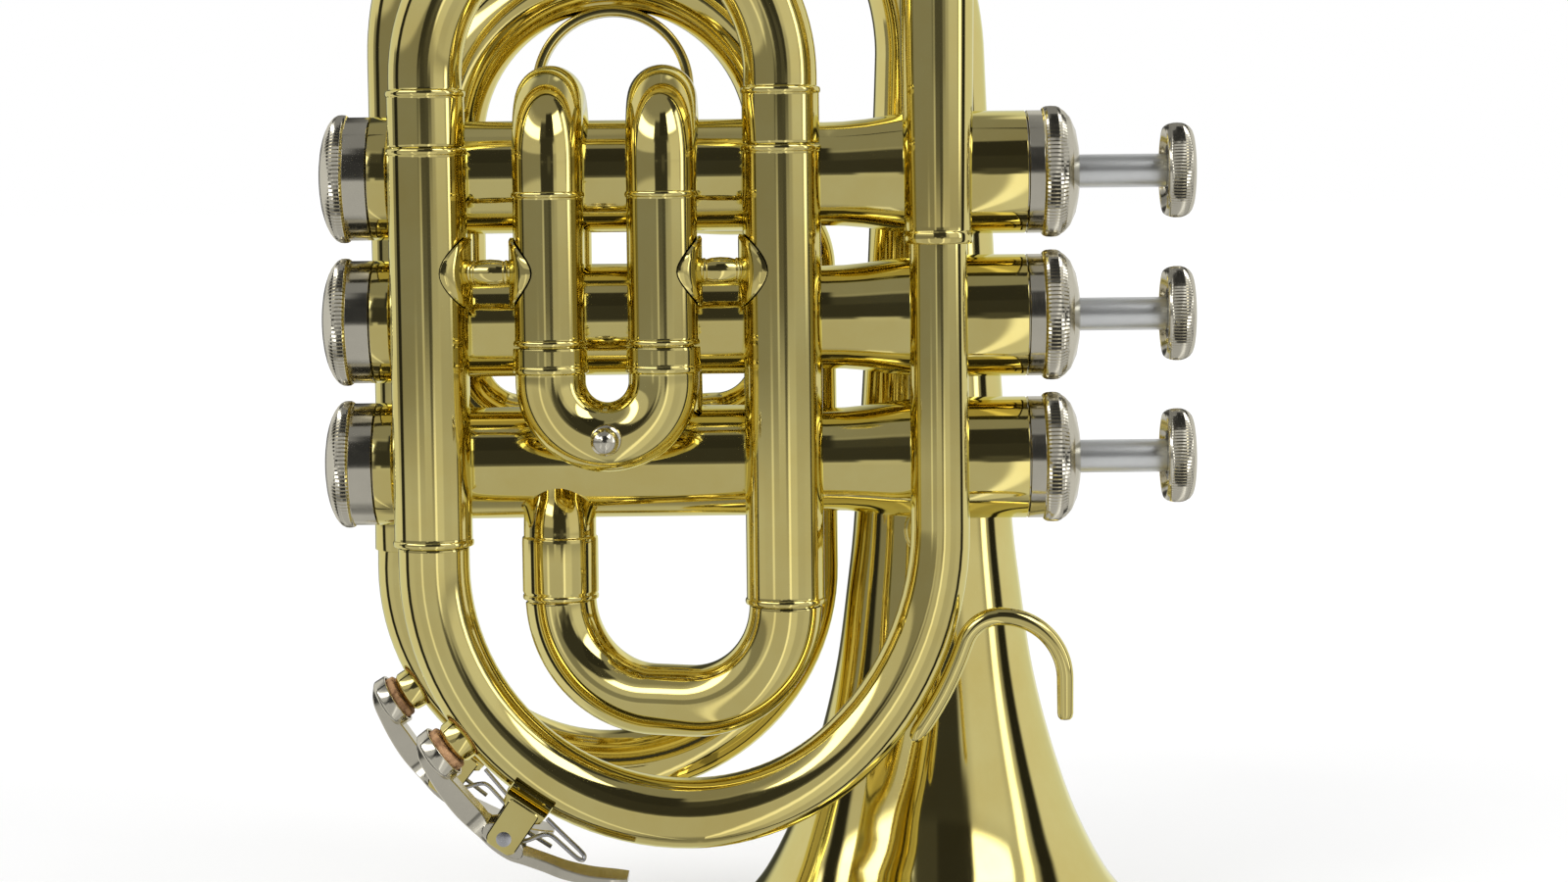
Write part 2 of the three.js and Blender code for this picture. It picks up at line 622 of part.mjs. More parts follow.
// Tuning slide: legs, ferrules and bow as one drawn tube
const tuningRadius = (lowerTubeX - upperTubeX) / 2;
const tuningLegEnd = leadJoint + leadPipe.spigot + tuningSlide.legGap;
const tuningStart = place(upperTubeX, plane.front, tuningLegEnd);
const tuningLegLength = mainTube.top - tuningLegEnd;
const tuningLeg = tuningLegLength + tuningSlide.ferruleLength + tuningSlide.bowGap;
const tuningRoute = new Route(tuningStart, up).line(tuningLeg);
tuningRoute.bend(right, tuningRadius, Math.PI, wideBowSteps).line(tuningLeg);

// Profile of a slide: thin legs, a ferrule with a bead at each end of its bow, then the bow
function slideProfile(route, legLength, ferruleLength, radii, bead) {
  const end = route.length;
  const half = [
    [0, radii.leg], [legLength, radii.leg], [legLength + tinyStep, radii.ferrule],
    ...beadAt(legLength + ferruleLength - bead.width, radii.ferrule, bead.rise, bead.width)
      .slice(0, 3),
    [legLength + ferruleLength + tinyStep, radii.bow],
  ];
  const mirrored = half.map(([s, radius]) => [end - s, radius]).reverse();
  return [...half, ...mirrored];
}
const tuningProfile = slideProfile(
  tuningRoute,
  tuningLegLength + seam,
  tuningSlide.ferruleLength - seam,
  { leg: main.leg, ferrule: tuningSlide.ferrule, bow: main.bow },
  { rise: main.bead, width: main.beadWidth },
);
addPiece('main_tuning_slide', tubeAlong(tuningRoute, tuningProfile, mainBore), brass);

// Lower bow: out of the second main tube, round and back towards the third valve
const bowSpan = place(port.low - lowerTubeX, plane.entry - plane.front, 0);
const bowDirection = bowSpan.clone().normalize();
const lowerRoute = new Route(
  place(lowerTubeX, plane.front, lowerFoot + lowerBow.spigot), down);
const entryFoot = valveHeight(thirdValve) - entry.drop;
lowerRoute.line(lowerFoot + lowerBow.spigot - lowerBowTop);
lowerRoute.bend(bowDirection, lowerBow.radius, Math.PI / 2, narrowBowSteps / 2 + 1);
lowerRoute.line(bowSpan.length() - 2 * lowerBow.radius);
lowerRoute.bend(up, lowerBow.radius, Math.PI / 2, narrowBowSteps / 2 + 1);
lowerRoute.line(entryFoot + lowerBow.spigot - lowerBowTop);
const lowerEnd = lowerRoute.length;
addPiece('lower_bow', tubeAlong(lowerRoute, [
  [0, main.leg], [lowerBow.spigot, main.leg], [lowerBow.spigot + seam, main.leg],
  [lowerBow.spigot + seam + tinyStep, main.bow],
  [lowerEnd - lowerBow.spigot - seam - tinyStep, main.bow],
  [lowerEnd - lowerBow.spigot - seam, main.leg], [lowerEnd, main.leg],
], mainBore), brass);

// Entry tube: the ferrule over the lower bow's end, and the elbow into the third valve
const entryRoute = new Route(place(port.low, plane.entry, entryFoot), up);
entryRoute.line(entry.ferruleLength);
entryRoute.bend(back, entry.bendRadius, entry.bend, 2);
entryRoute.line(entry.reach);
const spigotClear = lowerBow.spigot + seam;
addPiece('valve_3_entry_tube', tubeAlong(entryRoute, [
  [0, entry.ferrule], [entry.ferruleLength, entry.ferrule],
  [entry.ferruleLength + tinyStep, entry.outer], [entryRoute.length, entry.outer],
], [
  [0, main.inner], [spigotClear, main.inner], [spigotClear + seam, mainBore],
  [entryRoute.length, mainBore],
], tubeSides, tubeSides).subtract(casingSpace(thirdValve)), brass);

// First slide: tubes over the top of the first valve
const archRadius = (plane.valve - plane.firstSlide) / 2;
const archHeight = firstSlide.archTop - slide.outer - archRadius;
const firstSlideBead = firstSlide.archTop - firstSlide.beadDrop;
function buildFirstSlideTube(x) {
  const hidden = firstSlide.hiddenArc;
  const start = place(x, (plane.valve + plane.firstSlide) / 2 + archRadius * Math.cos(hidden),
    archHeight + archRadius * Math.sin(hidden));
  const heading = place(0, -Math.sin(hidden), Math.cos(hidden));
  const route = new Route(start, heading);
  route.bend(place(0, -Math.cos(hidden), -Math.sin(hidden)), archRadius, Math.PI - hidden,
    narrowBowSteps);
  const archEnd = route.length;
  route.line(archHeight - firstSlide.tubeEnd);
  const end = route.length;
  const beadStart = archEnd + archHeight - firstSlideBead;
  return tubeAlong(route, [
    [0, slide.outer],
    ...beadAt(beadStart, slide.outer, slide.bead, slide.beadWidth),
    ...beadAt(end - slide.beadWidth - tinyStep, slide.outer, slide.bead, slide.beadWidth)
      .slice(0, 3),
  ], slide.inner, tubeSides, tubeSides).subtract(casingSpace(firstValve));
}
addPiece('slide_1_tube_low', buildFirstSlideTube(port.low), brass);
addPiece('slide_1_tube_high', buildFirstSlideTube(port.high), brass);

const crookRadius = (port.high - port.low) / 2;
function crookRoute(start, heading, legLength, towards) {
  const route = new Route(start, heading);
  route.line(legLength).bend(towards, crookRadius, Math.PI, narrowBowSteps).line(legLength);
  return route;
}
const slideRadii = { leg: slide.leg, ferrule: slide.ferrule, bow: slide.outer };
const slideBead = { rise: slide.bead / 2, width: slide.beadWidth };
const legSpan = (fit) => fit.legLength + fit.ferruleLength + fit.bowGap;
const firstLegTop = place(port.low, plane.firstSlide, firstSlide.tubeEnd + firstSlide.legLength);
const firstCrook = crookRoute(firstLegTop, down, legSpan(firstSlide), right);
addPiece('slide_1_crook', tubeAlong(firstCrook, slideProfile(
  firstCrook, firstSlide.legLength + seam, firstSlide.ferruleLength - seam, slideRadii, slideBead,
), slideBore), brass);

// Pull knob: a small ball on a foot that is shaped to its tube
function knobOutline() {
  const k = knob;
  const ballCentre = k.baseHeight + k.neckLength + k.ball * Math.cos(Math.asin(k.neck / k.ball));
  const outline = [[-k.ball, 0], [-k.ball, k.base], [k.baseHeight, k.base],
    [k.baseHeight, k.neck], [k.baseHeight + k.neckLength, k.neck]];
  for (const angle of [-35, 0, 35, 65]) {
    outline.push([ballCentre + k.ball * Math.sin(degrees(angle)),
      k.ball * Math.cos(degrees(angle))]);
  }
  outline.push([ballCentre + k.ball, 0]);
  return outline;
}
const crookMiddle = (port.low + port.high) / 2;
const crookBottom = firstLegTop.z - legSpan(firstSlide) - crookRadius;
const knobFoot = place(crookMiddle, plane.firstSlide - slide.outer - seam, crookBottom);
addPiece('slide_1_knob', turned(knobFoot, front, knobOutline(), smallSides)
  .subtract(rodAlong(firstCrook, [[0, slide.ferrule + seam], [firstCrook.length / 2 - crookRadius,
    slide.outer + seam], [firstCrook.length / 2 + crookRadius, slide.outer + seam],
  [firstCrook.length, slide.ferrule + seam]], tubeSides)), nickel);

// Second slide
function buildSecondSlideTube(x) {
  const start = plane.valve + secondSlide.start;
  const route = new Route(place(x, start, valveHeight(secondValve)), back);
  route.line(secondSlide.tubeEnd - start);
  const end = route.length;
  return tubeAlong(route, [[0, slide.outer],
    ...beadAt(end - slide.beadWidth - tinyStep, slide.outer, slide.bead, slide.beadWidth)
      .slice(0, 3)], slide.inner, tubeSides, tubeSides).subtract(casingSpace(secondValve));
}
addPiece('slide_2_tube_low', buildSecondSlideTube(port.low), brass);
addPiece('slide_2_tube_high', buildSecondSlideTube(port.high), brass);
const secondLegEnd = secondSlide.tubeEnd - secondSlide.legLength;
const secondCrook = crookRoute(place(port.low, secondLegEnd, valveHeight(secondValve)), back,
  legSpan(secondSlide), right);
const secondProfile = slideProfile(
  secondCrook, secondSlide.legLength + seam, secondSlide.ferruleLength - seam, slideRadii,
  slideBead,
);
const secondTip = place(crookMiddle,
  secondLegEnd + legSpan(secondSlide) + crookRadius + slide.outer, valveHeight(secondValve));
const secondKnob = turned(secondTip, back, knobOutline(), smallSides);
const secondEnd = secondCrook.length;
addPiece('slide_2_crook', rodAlong(secondCrook, secondProfile, tubeSides).add(secondKnob)
  .subtract(rodAlong(secondCrook, [[-overrun, slideBore], [secondEnd + overrun, slideBore]],
    boreSides)), brass);

// Third slide: tubes that leave the third valve backwards, part and rise behind the valves
const portReach = (plane.rearSlide - plane.valve) / Math.cos(thirdSlide.portAngle);
const rearRise = portReach * Math.sin(thirdSlide.portAngle);
function buildThirdSlideTube(portX, legX) {
  const outward = legX < portX ? left : right;
  const secondBend = Math.abs(legX - portX) - thirdSlide.firstBend;
  const start = place(portX, plane.valve, valveHeight(thirdValve));
  const route = new Route(start, acrossValve(thirdSlide.portAngle));
  route.line(portReach - thirdSlide.firstBend);
  route.bend(outward, thirdSlide.firstBend, Math.PI / 2, narrowBowSteps / 2 + 1);
  route.bend(up, secondBend, Math.PI / 2, narrowBowSteps / 2 + 1);
  route.line(thirdSlide.tubeEnd - valveHeight(thirdValve) - rearRise - secondBend);
  const end = route.length;
  return tubeAlong(route, [[casing.bodyRadius / 2, slide.outer],
    ...beadAt(end - slide.beadWidth - tinyStep, slide.outer, slide.bead, slide.beadWidth)
      .slice(0, 3)], slide.inner, tubeSides, tubeSides).subtract(casingSpace(thirdValve));
}
addPiece('slide_3_tube_low', buildThirdSlideTube(port.low, thirdSlide.leftX), brass);
addPiece('slide_3_tube_high', buildThirdSlideTube(port.high, thirdSlide.rightX), brass);

const rearBowRadius = (thirdSlide.rightX - thirdSlide.leftX) / 2;
const thirdRoute = new Route(
  place(thirdSlide.leftX, plane.rearSlide, thirdSlide.tubeEnd - thirdSlide.legLength), up);
thirdRoute.line(legSpan(thirdSlide));
thirdRoute.bend(right, rearBowRadius, Math.PI, wideBowSteps).line(legSpan(thirdSlide));
addPiece('slide_3_bow', tubeAlong(thirdRoute, slideProfile(
  thirdRoute, thirdSlide.legLength + seam, thirdSlide.ferruleLength - seam,
  { leg: slide.leg, ferrule: slide.ferrule, bow: thirdSlide.bow }, slideBead,
), slideBore), brass);

// Finger ring, soldered up inside the third slide's bow
const ringShape = turned(place(fingerRing.x, plane.rearSlide, fingerRing.z), back, [
  [-fingerRing.width / 2, fingerRing.inner], [-fingerRing.width / 2, fingerRing.outer],
  [fingerRing.width / 2, fingerRing.outer], [fingerRing.width / 2, fingerRing.inner],
], bellSides);
const bowSpace = rodAlong(thirdRoute, [[0, thirdSlide.bow + seam],
  [thirdRoute.length, thirdSlide.bow + seam]], bellSides);
addPiece('slide_3_finger_ring', ringShape.subtract(bowSpace), brass);

// Bell branch: out of the first valve, down behind the main slide and round to the bell
const exitHeading = acrossValve(branch.exitAngle);
const exitReach = (plane.bell - plane.valve) / Math.cos(branch.exitAngle);
const branchLean = Math.atan2(bell.leftTopX - branch.leftX, bell.bowCentre - branch.bowCentre);
const branchRoute = new Route(place(port.high, plane.valve, valveHeight(firstValve)), exitHeading);
branchRoute.line(exitReach - branch.firstBend);
branchRoute.bend(right, branch.firstBend, Math.PI / 2, narrowBowSteps / 2 + 1);
const secondBend = branch.rightX - port.high - branch.firstBend;
branchRoute.bend(down, secondBend, Math.PI / 2, narrowBowSteps / 2 + 1);
branchRoute.line(branchRoute.tip.at.z - branch.bowCentre);
const branchBowRadius = (branch.rightX - branch.leftX) / (1 + Math.cos(branchLean));
branchRoute.bend(left, branchBowRadius, Math.PI + branchLean, wideBowSteps);
branchRoute.line(branch.joint - branchRoute.tip.at.z + main.beadWidth);
const branchEnd = branchRoute.length;
const branchStart = casing.bodyRadius / 2;
const branchBore = [[branchStart, branch.outer - wall], [branchEnd, branch.outer - wall]];
const rearHost = {
  centre: place(branch.rightX - branchBowRadius, plane.bell, branch.bowCentre),
  surface: branchBowRadius + branch.outer,
  bowRadius: branchBowRadius,
  tube: branch.outer,
};
const rearKeyFrame = keyFrame(rearHost, rearKey);
addPiece('bell_branch', withNipple(branchRoute, [
  [branchStart, branch.outer], [branchEnd - branch.ferruleLength, branch.outer],
  [branchEnd - branch.ferruleLength + tinyStep, branch.ferrule], [branchEnd, branch.ferrule],
], branchBore, rearKeyFrame).subtract(casingSpace(firstValve)), brass);

// Bell: up the left side, over the rear bow and down to the flare
const leanHeading = place(Math.sin(branchLean), 0, Math.cos(branchLean));
const bellRoute = new Route(
  branchRoute.tip.at.clone().addScaledVector(leanHeading, seam), leanHeading);
bellRoute.line((bell.bowCentre - bellRoute.tip.at.z) / Math.cos(branchLean));
const rearBowStart = bellRoute.length;
const bellBowRadius = -bellRoute.tip.at.x / (1 + Math.cos(branchLean));
bellRoute.bend(right, bellBowRadius, Math.PI - branchLean, wideBowSteps);
const tailStart = bellRoute.length;
bellRoute.line(bellRoute.tip.at.z);
const rimPlace = bellRoute.length;
const fromRim = (height) => rimPlace - height;
const bellOuter = [
  [0, bell.startRadius], [rearBowStart, bell.leftTopRadius], [tailStart, bell.tailRadius],
  ...bellFlare.map(([height, radius]) => [fromRim(height), radius]),
  [fromRim(bell.rimWidth + tinyStep), bell.rimStep], [fromRim(bell.rimWidth), bell.rimRadius],
  [rimPlace, bell.rimRadius],
];
const bellBore = [
  [0, bell.startRadius - bell.wall], [rearBowStart, bell.leftTopRadius - bell.wall],
  [tailStart, bell.tailRadius - bell.wall],
  ...bellFlare.map(([height, radius]) => [fromRim(height), radius - bell.wall]),
  [fromRim(bell.rimWidth), bell.rimStep - bell.wall], [rimPlace, bell.rimRadius - bell.wall],
];
addPiece('bell', tubeAlong(bellRoute, bellOuter, bellBore, bellSides, bellSides), brass);

// Finger hook: along the outside of the lead pipe's wide bend, then over and down
const pipeByHook = radiusOn(leadProfile, leadBowStart - sideRadius * hook.startAngle);
const hookRadius = sideRadius + pipeByHook + seam + hook.rod;
const hookStart = place(leadPipe.x - sideRadius, plane.front, leadBowCentre + leadPipe.earlyBend);
hookStart.add(place(Math.cos(hook.startAngle), 0, Math.sin(hook.startAngle))
  .multiplyScalar(hookRadius));
const hookHeading = place(-Math.sin(hook.startAngle), 0, Math.cos(hook.startAngle));
const hookRoute = new Route(hookStart, hookHeading);
hookRoute.bend(left, hookRadius, hook.leaveAngle - hook.startAngle, hook.neckSteps);
hookRoute.bend(right, hook.neckRadius, Math.PI / 2 + hook.leaveAngle, hook.neckSteps);
hookRoute.bend(down, hook.archRadius, Math.PI / 2, hook.archSteps).line(hook.tail);
addPiece('finger_hook', rodAlong(hookRoute, [[0, hook.rod], [hookRoute.length - hook.tail,
  (hook.rod + hook.endRod) / 2], [hookRoute.length, hook.endRod]], smallSides), brass);

// Braces: a turned rod between two thin flanges, each shaped to its tube
function buildBrace(from, to, fromSpace, toSpace, fromSkin, toSkin, flange) {
  const axis = to.clone().sub(from).normalize();
  const length = to.distanceTo(from);
  const b = brace;
  const middle = length / 2;
  const rod = turned(from, axis, [
    [0, 0], [0, b.rod], [middle - b.belly - b.collarWidth, b.rod],
    [middle - b.belly - b.collarWidth, b.collar], [middle - b.belly, b.collar],
    [middle, b.belly], [middle + b.belly, b.collar],
    [middle + b.belly + b.collarWidth, b.collar], [middle + b.belly + b.collarWidth, b.rod],
    [length, b.rod], [length, 0],
  ], smallSides);
  const disc = bar(from, axis, b.wrap, length - b.wrap, flange, tubeSides);
  const plates = disc.intersect(fromSkin.add(toSkin));
  return rod.add(plates).subtract(fromSpace).subtract(toSpace);
}
const braceHeight = firstSlide.tubeEnd
  + (firstSlideBead - firstSlide.tubeEnd) * brace.heightShare;
function upright(x, y, radius) {
  const reach = brace.flange + overrun;
  return bar(place(x, y, braceHeight), up, -reach, reach, radius, tubeSides);
}
function slideBrace(legX, tubeX) {
  return buildBrace(
    place(legX, plane.firstSlide, braceHeight), place(tubeX, plane.front, braceHeight),
    upright(legX, plane.firstSlide, slide.outer + seam),
    upright(tubeX, plane.front, main.outer + seam),
    upright(legX, plane.firstSlide, slide.outer + seam + brace.sheet),
    upright(tubeX, plane.front, main.outer + seam + brace.sheet),
    brace.flange,
  );
}
addPiece('brace_upper_tube', slideBrace(port.low, upperTubeX), brass);
addPiece('brace_lower_tube', slideBrace(port.high, lowerTubeX), brass);

const bellBraceHeight = valveHeight(thirdValve) - casing.topRadius - bellBrace.below;
const bellBraceReach = bellBrace.flange + overrun;
function partOf(route, profile, middle, gap, sides) {
  const ends = [middle - bellBraceReach, middle, middle + bellBraceReach];
  return rodAlong(route, ends.map((s) => [s, radiusOn(profile, s) + gap]), sides);
}
const bellPart = (gap) => partOf(bellRoute, bellOuter, fromRim(bellBraceHeight), gap, bellSides);
const pipePart = (gap) => partOf(leadRoute, leadProfile, leadPipe.top - bellBraceHeight, gap,
  tubeSides);
addPiece('bell_brace', buildBrace(
  place(leadPipe.x, plane.front, bellBraceHeight), place(leadPipe.x, plane.bell, bellBraceHeight),
  pipePart(seam), bellPart(seam), pipePart(seam + brace.sheet), bellPart(seam + brace.sheet),
  bellBrace.flange,
), brass);

// Water keys, drawn in the frame of their nipple
function plate(outline, halfWidth) {
  const geometry = new THREE.ExtrudeGeometry(
    new THREE.Shape(outline.map(([x, z]) => new THREE.Vector2(x, z))),
    { depth: 2 * halfWidth, bevelEnabled: false },
  );
  geometry.rotateX(Math.PI / 2);
  geometry.translate(0, halfWidth, 0);
  return solidOf(geometry);
}
const keyPin = place(waterKey.pivotReach, 0, waterKey.pivotRise);
function buildLever() {
  const w = waterKey;
  const cupFoot = w.nippleHeight + seam + w.corkShow;
  const corkTop = w.nippleHeight + seam + w.corkHeight;
  const cupTop = corkTop + seam + w.cupRoof;
  const cup = bar(place(0, 0, 0), up, cupFoot, cupTop, w.cup, tubeSides);
  const corkRoom = bar(place(0, 0, 0), up, cupFoot - overrun, corkTop + seam, w.cork + seam,
    tubeSides);
  const onLever = ([along, above]) => [along * w.pivotReach, w.pivotRise + above * w.hub];
  const byPin = ([along, above]) => [w.pivotReach + along * w.hub, w.pivotRise + above * w.hub];
  const arm = plate([
    [-w.cup, cupTop - w.cupRoof], [w.cup, cupTop - w.cupRoof], ...armShares.map(onLever),
    [-w.cup / 2, cupTop + w.cupRoof / 3],
  ], w.arm);
  const tail = plate(tailShares.map(onLever), w.tailHalfWidth);
  const hub = bar(keyPin, back, -w.hubEnd, w.hubEnd, w.hub, tubeSides);
  const coilRoom = bar(keyPin, back, -w.hubSlot, w.hubSlot, w.hub + w.coilGap, tubeSides);
  const lugs = plate(lugShares.map(byPin), w.hubEnd);
  const pinRoom = bar(keyPin, back, -w.hubEnd - overrun, w.hubEnd + overrun, w.pin + running,
    smallSides);
  return arm.add(tail).add(hub).add(lugs).subtract(coilRoom).add(cup).subtract(corkRoom)
    .subtract(pinRoom);
}

function buildSaddle({ host, frame }) {
  const w = waterKey;
  const pin = keyPin.clone().applyMatrix4(frame);
  const spoke = pin.clone().sub(host.centre).normalize();
  const across = place(-spoke.z, 0, spoke.x);
  const height = pin.distanceTo(host.centre);
  const foot = host.surface - w.nippleFoot;
  const stand = new THREE.Matrix4().makeBasis(across, front, spoke).setPosition(host.centre);
  const postEdge = w.hubEnd + w.postGap + w.post;
  const outline = [
    [-w.baseHalfLength, foot], [w.baseHalfLength, foot],
    [w.baseHalfLength, host.surface + w.baseHeight],
    [w.postHalfLength, host.surface + w.baseHeight + w.post], [w.postHalfLength, height],
    [w.hub, height + w.hub], [-w.hub, height + w.hub],
    [-w.postHalfLength, height], [-w.postHalfLength, host.surface + w.baseHeight + w.post],
    [-w.baseHalfLength, host.surface + w.baseHeight],
  ];
  const body = plate(outline, postEdge);
  const hubRoom = block(place(0, 0, height + w.hub),
    place(2 * (w.baseHalfLength + overrun), 2 * (w.hubEnd + w.postGap),
      2 * (height - host.surface - w.baseHeight) + w.hub));
  const pinRoom = bar(place(0, 0, height), back, -postEdge - overrun, postEdge + overrun,
    w.pin + running / 2, smallSides);
  return body.subtract(hubRoom).subtract(pinRoom).transform(stand.elements);
}

// The lever's return spring: curls round the pin, with one leg under the lever's tail and one
// on the tube. Each leg leaves the curls along their own direction
function buildSpring() {
  const w = waterKey;
  const half = (w.curlSteps * w.curlPitch) / w.coilSteps / 2;
  const angleAt = (i) => Math.PI + w.legSlope + (2 * Math.PI * i) / w.coilSteps;
  const coilPoint = (i) => place(
    keyPin.x + w.coil * Math.sin(angleAt(i)),
    -half + (w.curlPitch * i) / w.coilSteps,
    keyPin.z + w.coil * Math.cos(angleAt(i)),
  );
  const leave = (i) => place(Math.cos(angleAt(i)), 0, -Math.sin(angleAt(i)));
  const curls = Array.from({ length: w.curlSteps + 1 }, (_, i) => coilPoint(i));
  const tailLeg = curls[0].clone().addScaledVector(leave(0), -w.legLength);
  const tubeLeg = curls[w.curlSteps].clone().addScaledVector(leave(w.curlSteps), w.footLength);
  const points = [tailLeg, ...curls, tubeLeg];
  const rings = points.map((at, i) => {
    const before = points[Math.max(i - 1, 0)];
    const after = points[Math.min(i + 1, points.length - 1)];
    const heading = after.clone().sub(before).normalize();
    const side = back.clone().addScaledVector(heading, -back.dot(heading)).normalize();
    return { at, heading, side, radius: w.wire };
  });
  return loft(rings, w.coilSides);
}

for (const [name, key] of [['front', frontKeyFrame], ['rear', rearKeyFrame]]) {
  const w = waterKey;
  const matrix = key.frame.elements;
  const corkFoot = w.nippleHeight + seam;
  const cork = bar(place(0, 0, 0), up, corkFoot, corkFoot + w.corkHeight, w.cork, tubeSides);
  const pinReach = w.hubEnd + w.postGap + w.post;
  const pin = bar(keyPin, back, -pinReach, pinReach, w.pin, smallSides);
  const { centre, bowRadius, tube } = key.host;
  const underBow = new Route(place(centre.x - bowRadius, centre.y, centre.z), down);
  underBow.bend(right, bowRadius, Math.PI / 2, wideBowSteps / 2);
  const hostSpace = rodAlong(underBow, [[0, tube + seam], [underBow.length, tube + seam]],
    tubeSides);
  addPiece(`water_key_${name}_lever`, buildLever().transform(matrix), nickel);
  addPiece(`water_key_${name}_cork`, cork.transform(matrix), corkStuff);
  addPiece(`water_key_${name}_pin`, pin.transform(matrix), steel);
  addPiece(`water_key_${name}_saddle`, buildSaddle(key).subtract(hostSpace), brass);
  addPiece(`water_key_${name}_spring`, buildSpring().transform(matrix), steel);
}

// Least gap between neighbouring curls of a water key's spring
console.log(`spring curl gap ${(waterKey.curlPitch - 2 * waterKey.wire).toFixed(2)} mm`);

export default horn;
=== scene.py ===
"""Dresses the pocket trumpet: smooth tubing, knurled caps, lacquered brass, and a white studio."""

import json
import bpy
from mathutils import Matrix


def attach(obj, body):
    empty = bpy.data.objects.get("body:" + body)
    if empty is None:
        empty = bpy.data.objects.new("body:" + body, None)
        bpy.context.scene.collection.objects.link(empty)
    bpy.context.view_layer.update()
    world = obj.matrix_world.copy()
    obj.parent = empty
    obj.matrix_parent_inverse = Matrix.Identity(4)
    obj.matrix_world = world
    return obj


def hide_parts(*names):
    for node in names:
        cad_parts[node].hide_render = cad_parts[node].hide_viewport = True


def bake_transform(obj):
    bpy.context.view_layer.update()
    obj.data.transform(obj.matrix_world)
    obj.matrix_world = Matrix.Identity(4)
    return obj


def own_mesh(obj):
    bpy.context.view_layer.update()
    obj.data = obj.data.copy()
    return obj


bl_info = {
    "name": "Pocket Trumpet Builder",
    "version": (1, 0, 0),
    "blender": (4, 5, 0),
    "location": "View3D > Sidebar > Trumpet",
    "description": "Builds a small three-valve trumpet with its slides, bell and water keys",
    "category": "Object",
}

from math import atan2, ceil, cos, degrees, inf, pi, radians, sin, sqrt

import bmesh
import bpy
from bpy.props import FloatProperty, FloatVectorProperty, IntProperty, PointerProperty
from mathutils import Matrix, Quaternion, Vector

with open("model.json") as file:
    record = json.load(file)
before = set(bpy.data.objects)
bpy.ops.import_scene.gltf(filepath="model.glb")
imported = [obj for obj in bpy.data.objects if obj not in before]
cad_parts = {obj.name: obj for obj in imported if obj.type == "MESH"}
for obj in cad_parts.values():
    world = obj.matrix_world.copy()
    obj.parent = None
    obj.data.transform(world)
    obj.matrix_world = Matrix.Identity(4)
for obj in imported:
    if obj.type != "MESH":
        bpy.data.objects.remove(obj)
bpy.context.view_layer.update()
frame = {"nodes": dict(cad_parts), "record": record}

# Lengths are millimetres in the frame of the CAD model; properties, shaders, lamps and the floor
# use metres
MM = 0.001

# Directions
RIGHT, LEFT = Vector((1, 0, 0)), Vector((-1, 0, 0))
BACK, FRONT = Vector((0, 1, 0)), Vector((0, -1, 0))
UP, DOWN = Vector((0, 0, 1)), Vector((0, 0, -1))

# Planes of the tubing, and the tubing's radii
BELL_Y, REAR_SLIDE_Y, VALVE_Y, ENTRY_Y, FRONT_Y, FIRST_SLIDE_Y = 0, -13, -31, -36.5, -50, -52.5
WALL = 0.6
SEAM = 0.3
MAIN_TUBE, MAIN_BOW, MAIN_LEG = 6.75, 6.3, 5.9
SLIDE_TUBE, SLIDE_LEG, SLIDE_FERRULE = 6.05, 5.3, 6.4
MAIN_BORE, SLIDE_BORE = MAIN_LEG - WALL, SLIDE_LEG - WALL
MAIN_CORE, SLIDE_CORE = 6.2, 5.6

# Valves
VALVE_PITCH = 25.4
VALVE_TOP_Z = 145.5
LOW_PORT, HIGH_PORT = -67.9, -48.5
PORTS = {"low": LOW_PORT, "high": HIGH_PORT}
CASING_BODY, CASING_SKIN, KNUCKLE = 9.9, 9.4, 6.1
CASING_SIDES, BUTTON_SIDES, STEM_SIDES = 96, 176, 48
CROOK = (HIGH_PORT - LOW_PORT) / 2
KNOB_X = (LOW_PORT + HIGH_PORT) / 2

# Front plane
LEAD_X, LEAD_BOW_Z, LEAD_BOW_R = -1.1, 78.5, 43.85
LEAD_EARLY_BEND = 5.8
LEAD_SIDE_R = LEAD_BOW_R + LEAD_EARLY_BEND * (1 + sqrt(0.5))
LEAD_UNDER_R = LEAD_BOW_R - LEAD_EARLY_BEND * sqrt(0.5)
LEAD_BOW_TUBE = 6.15
UPPER_TUBE_X = LEAD_X - 2 * LEAD_BOW_R
LOWER_TUBE_X = -28

# Water keys, in the frame of their nipple
KEY_PIN = Vector((18, 0, 4.2))
KEY_HUB_END = 4
KEY_CORK_FOOT = 2.5
KEY_CORK_TOP = 4.7

# Bell flare: height above the rim, outer radius
BELL_FLARE = [
    (160, 10.5), (133, 11.7), (105, 13.2), (78.6, 15.1), (67.6, 16.4), (56.4, 17.9), (48.8, 19.35),
    (41.3, 21.2), (34, 23.35), (26, 26.15), (18.8, 29.45), (14, 32.1), (11.4, 33.9), (8, 36.8),
    (5, 39.9), (2.9, 43),
]
BELL_EDGE = [
    (2.1, 45), (1.95, 45.4), (1.75, 45.9), (1.4, 46.3), (0.95, 46.45), (0.5, 46.3),
    (0.2, 45.95), (0.02, 45.5),
]
BELL_WALL = 0.8


def valve_z(number):
    return VALVE_TOP_Z - (number - 1) * VALVE_PITCH


class TrumpetSizes(bpy.types.PropertyGroup):
    knurl_teeth: IntProperty(
        name="Knurl teeth", description="Teeth round each valve cap", default=96, min=40, max=240)
    knurl_depth: FloatProperty(
        name="Knurl depth", description="Depth of the knurling on caps and buttons",
        default=0.00023, min=0, max=0.001, unit="LENGTH", precision=5)
    tube_sides: IntProperty(
        name="Tube sides", description="Facets round each tube", default=48, min=16, max=128)


def colour_property(name, description, default):
    return FloatVectorProperty(name=name, description=description, subtype="COLOR", size=3,
                               default=default, min=0, max=1)


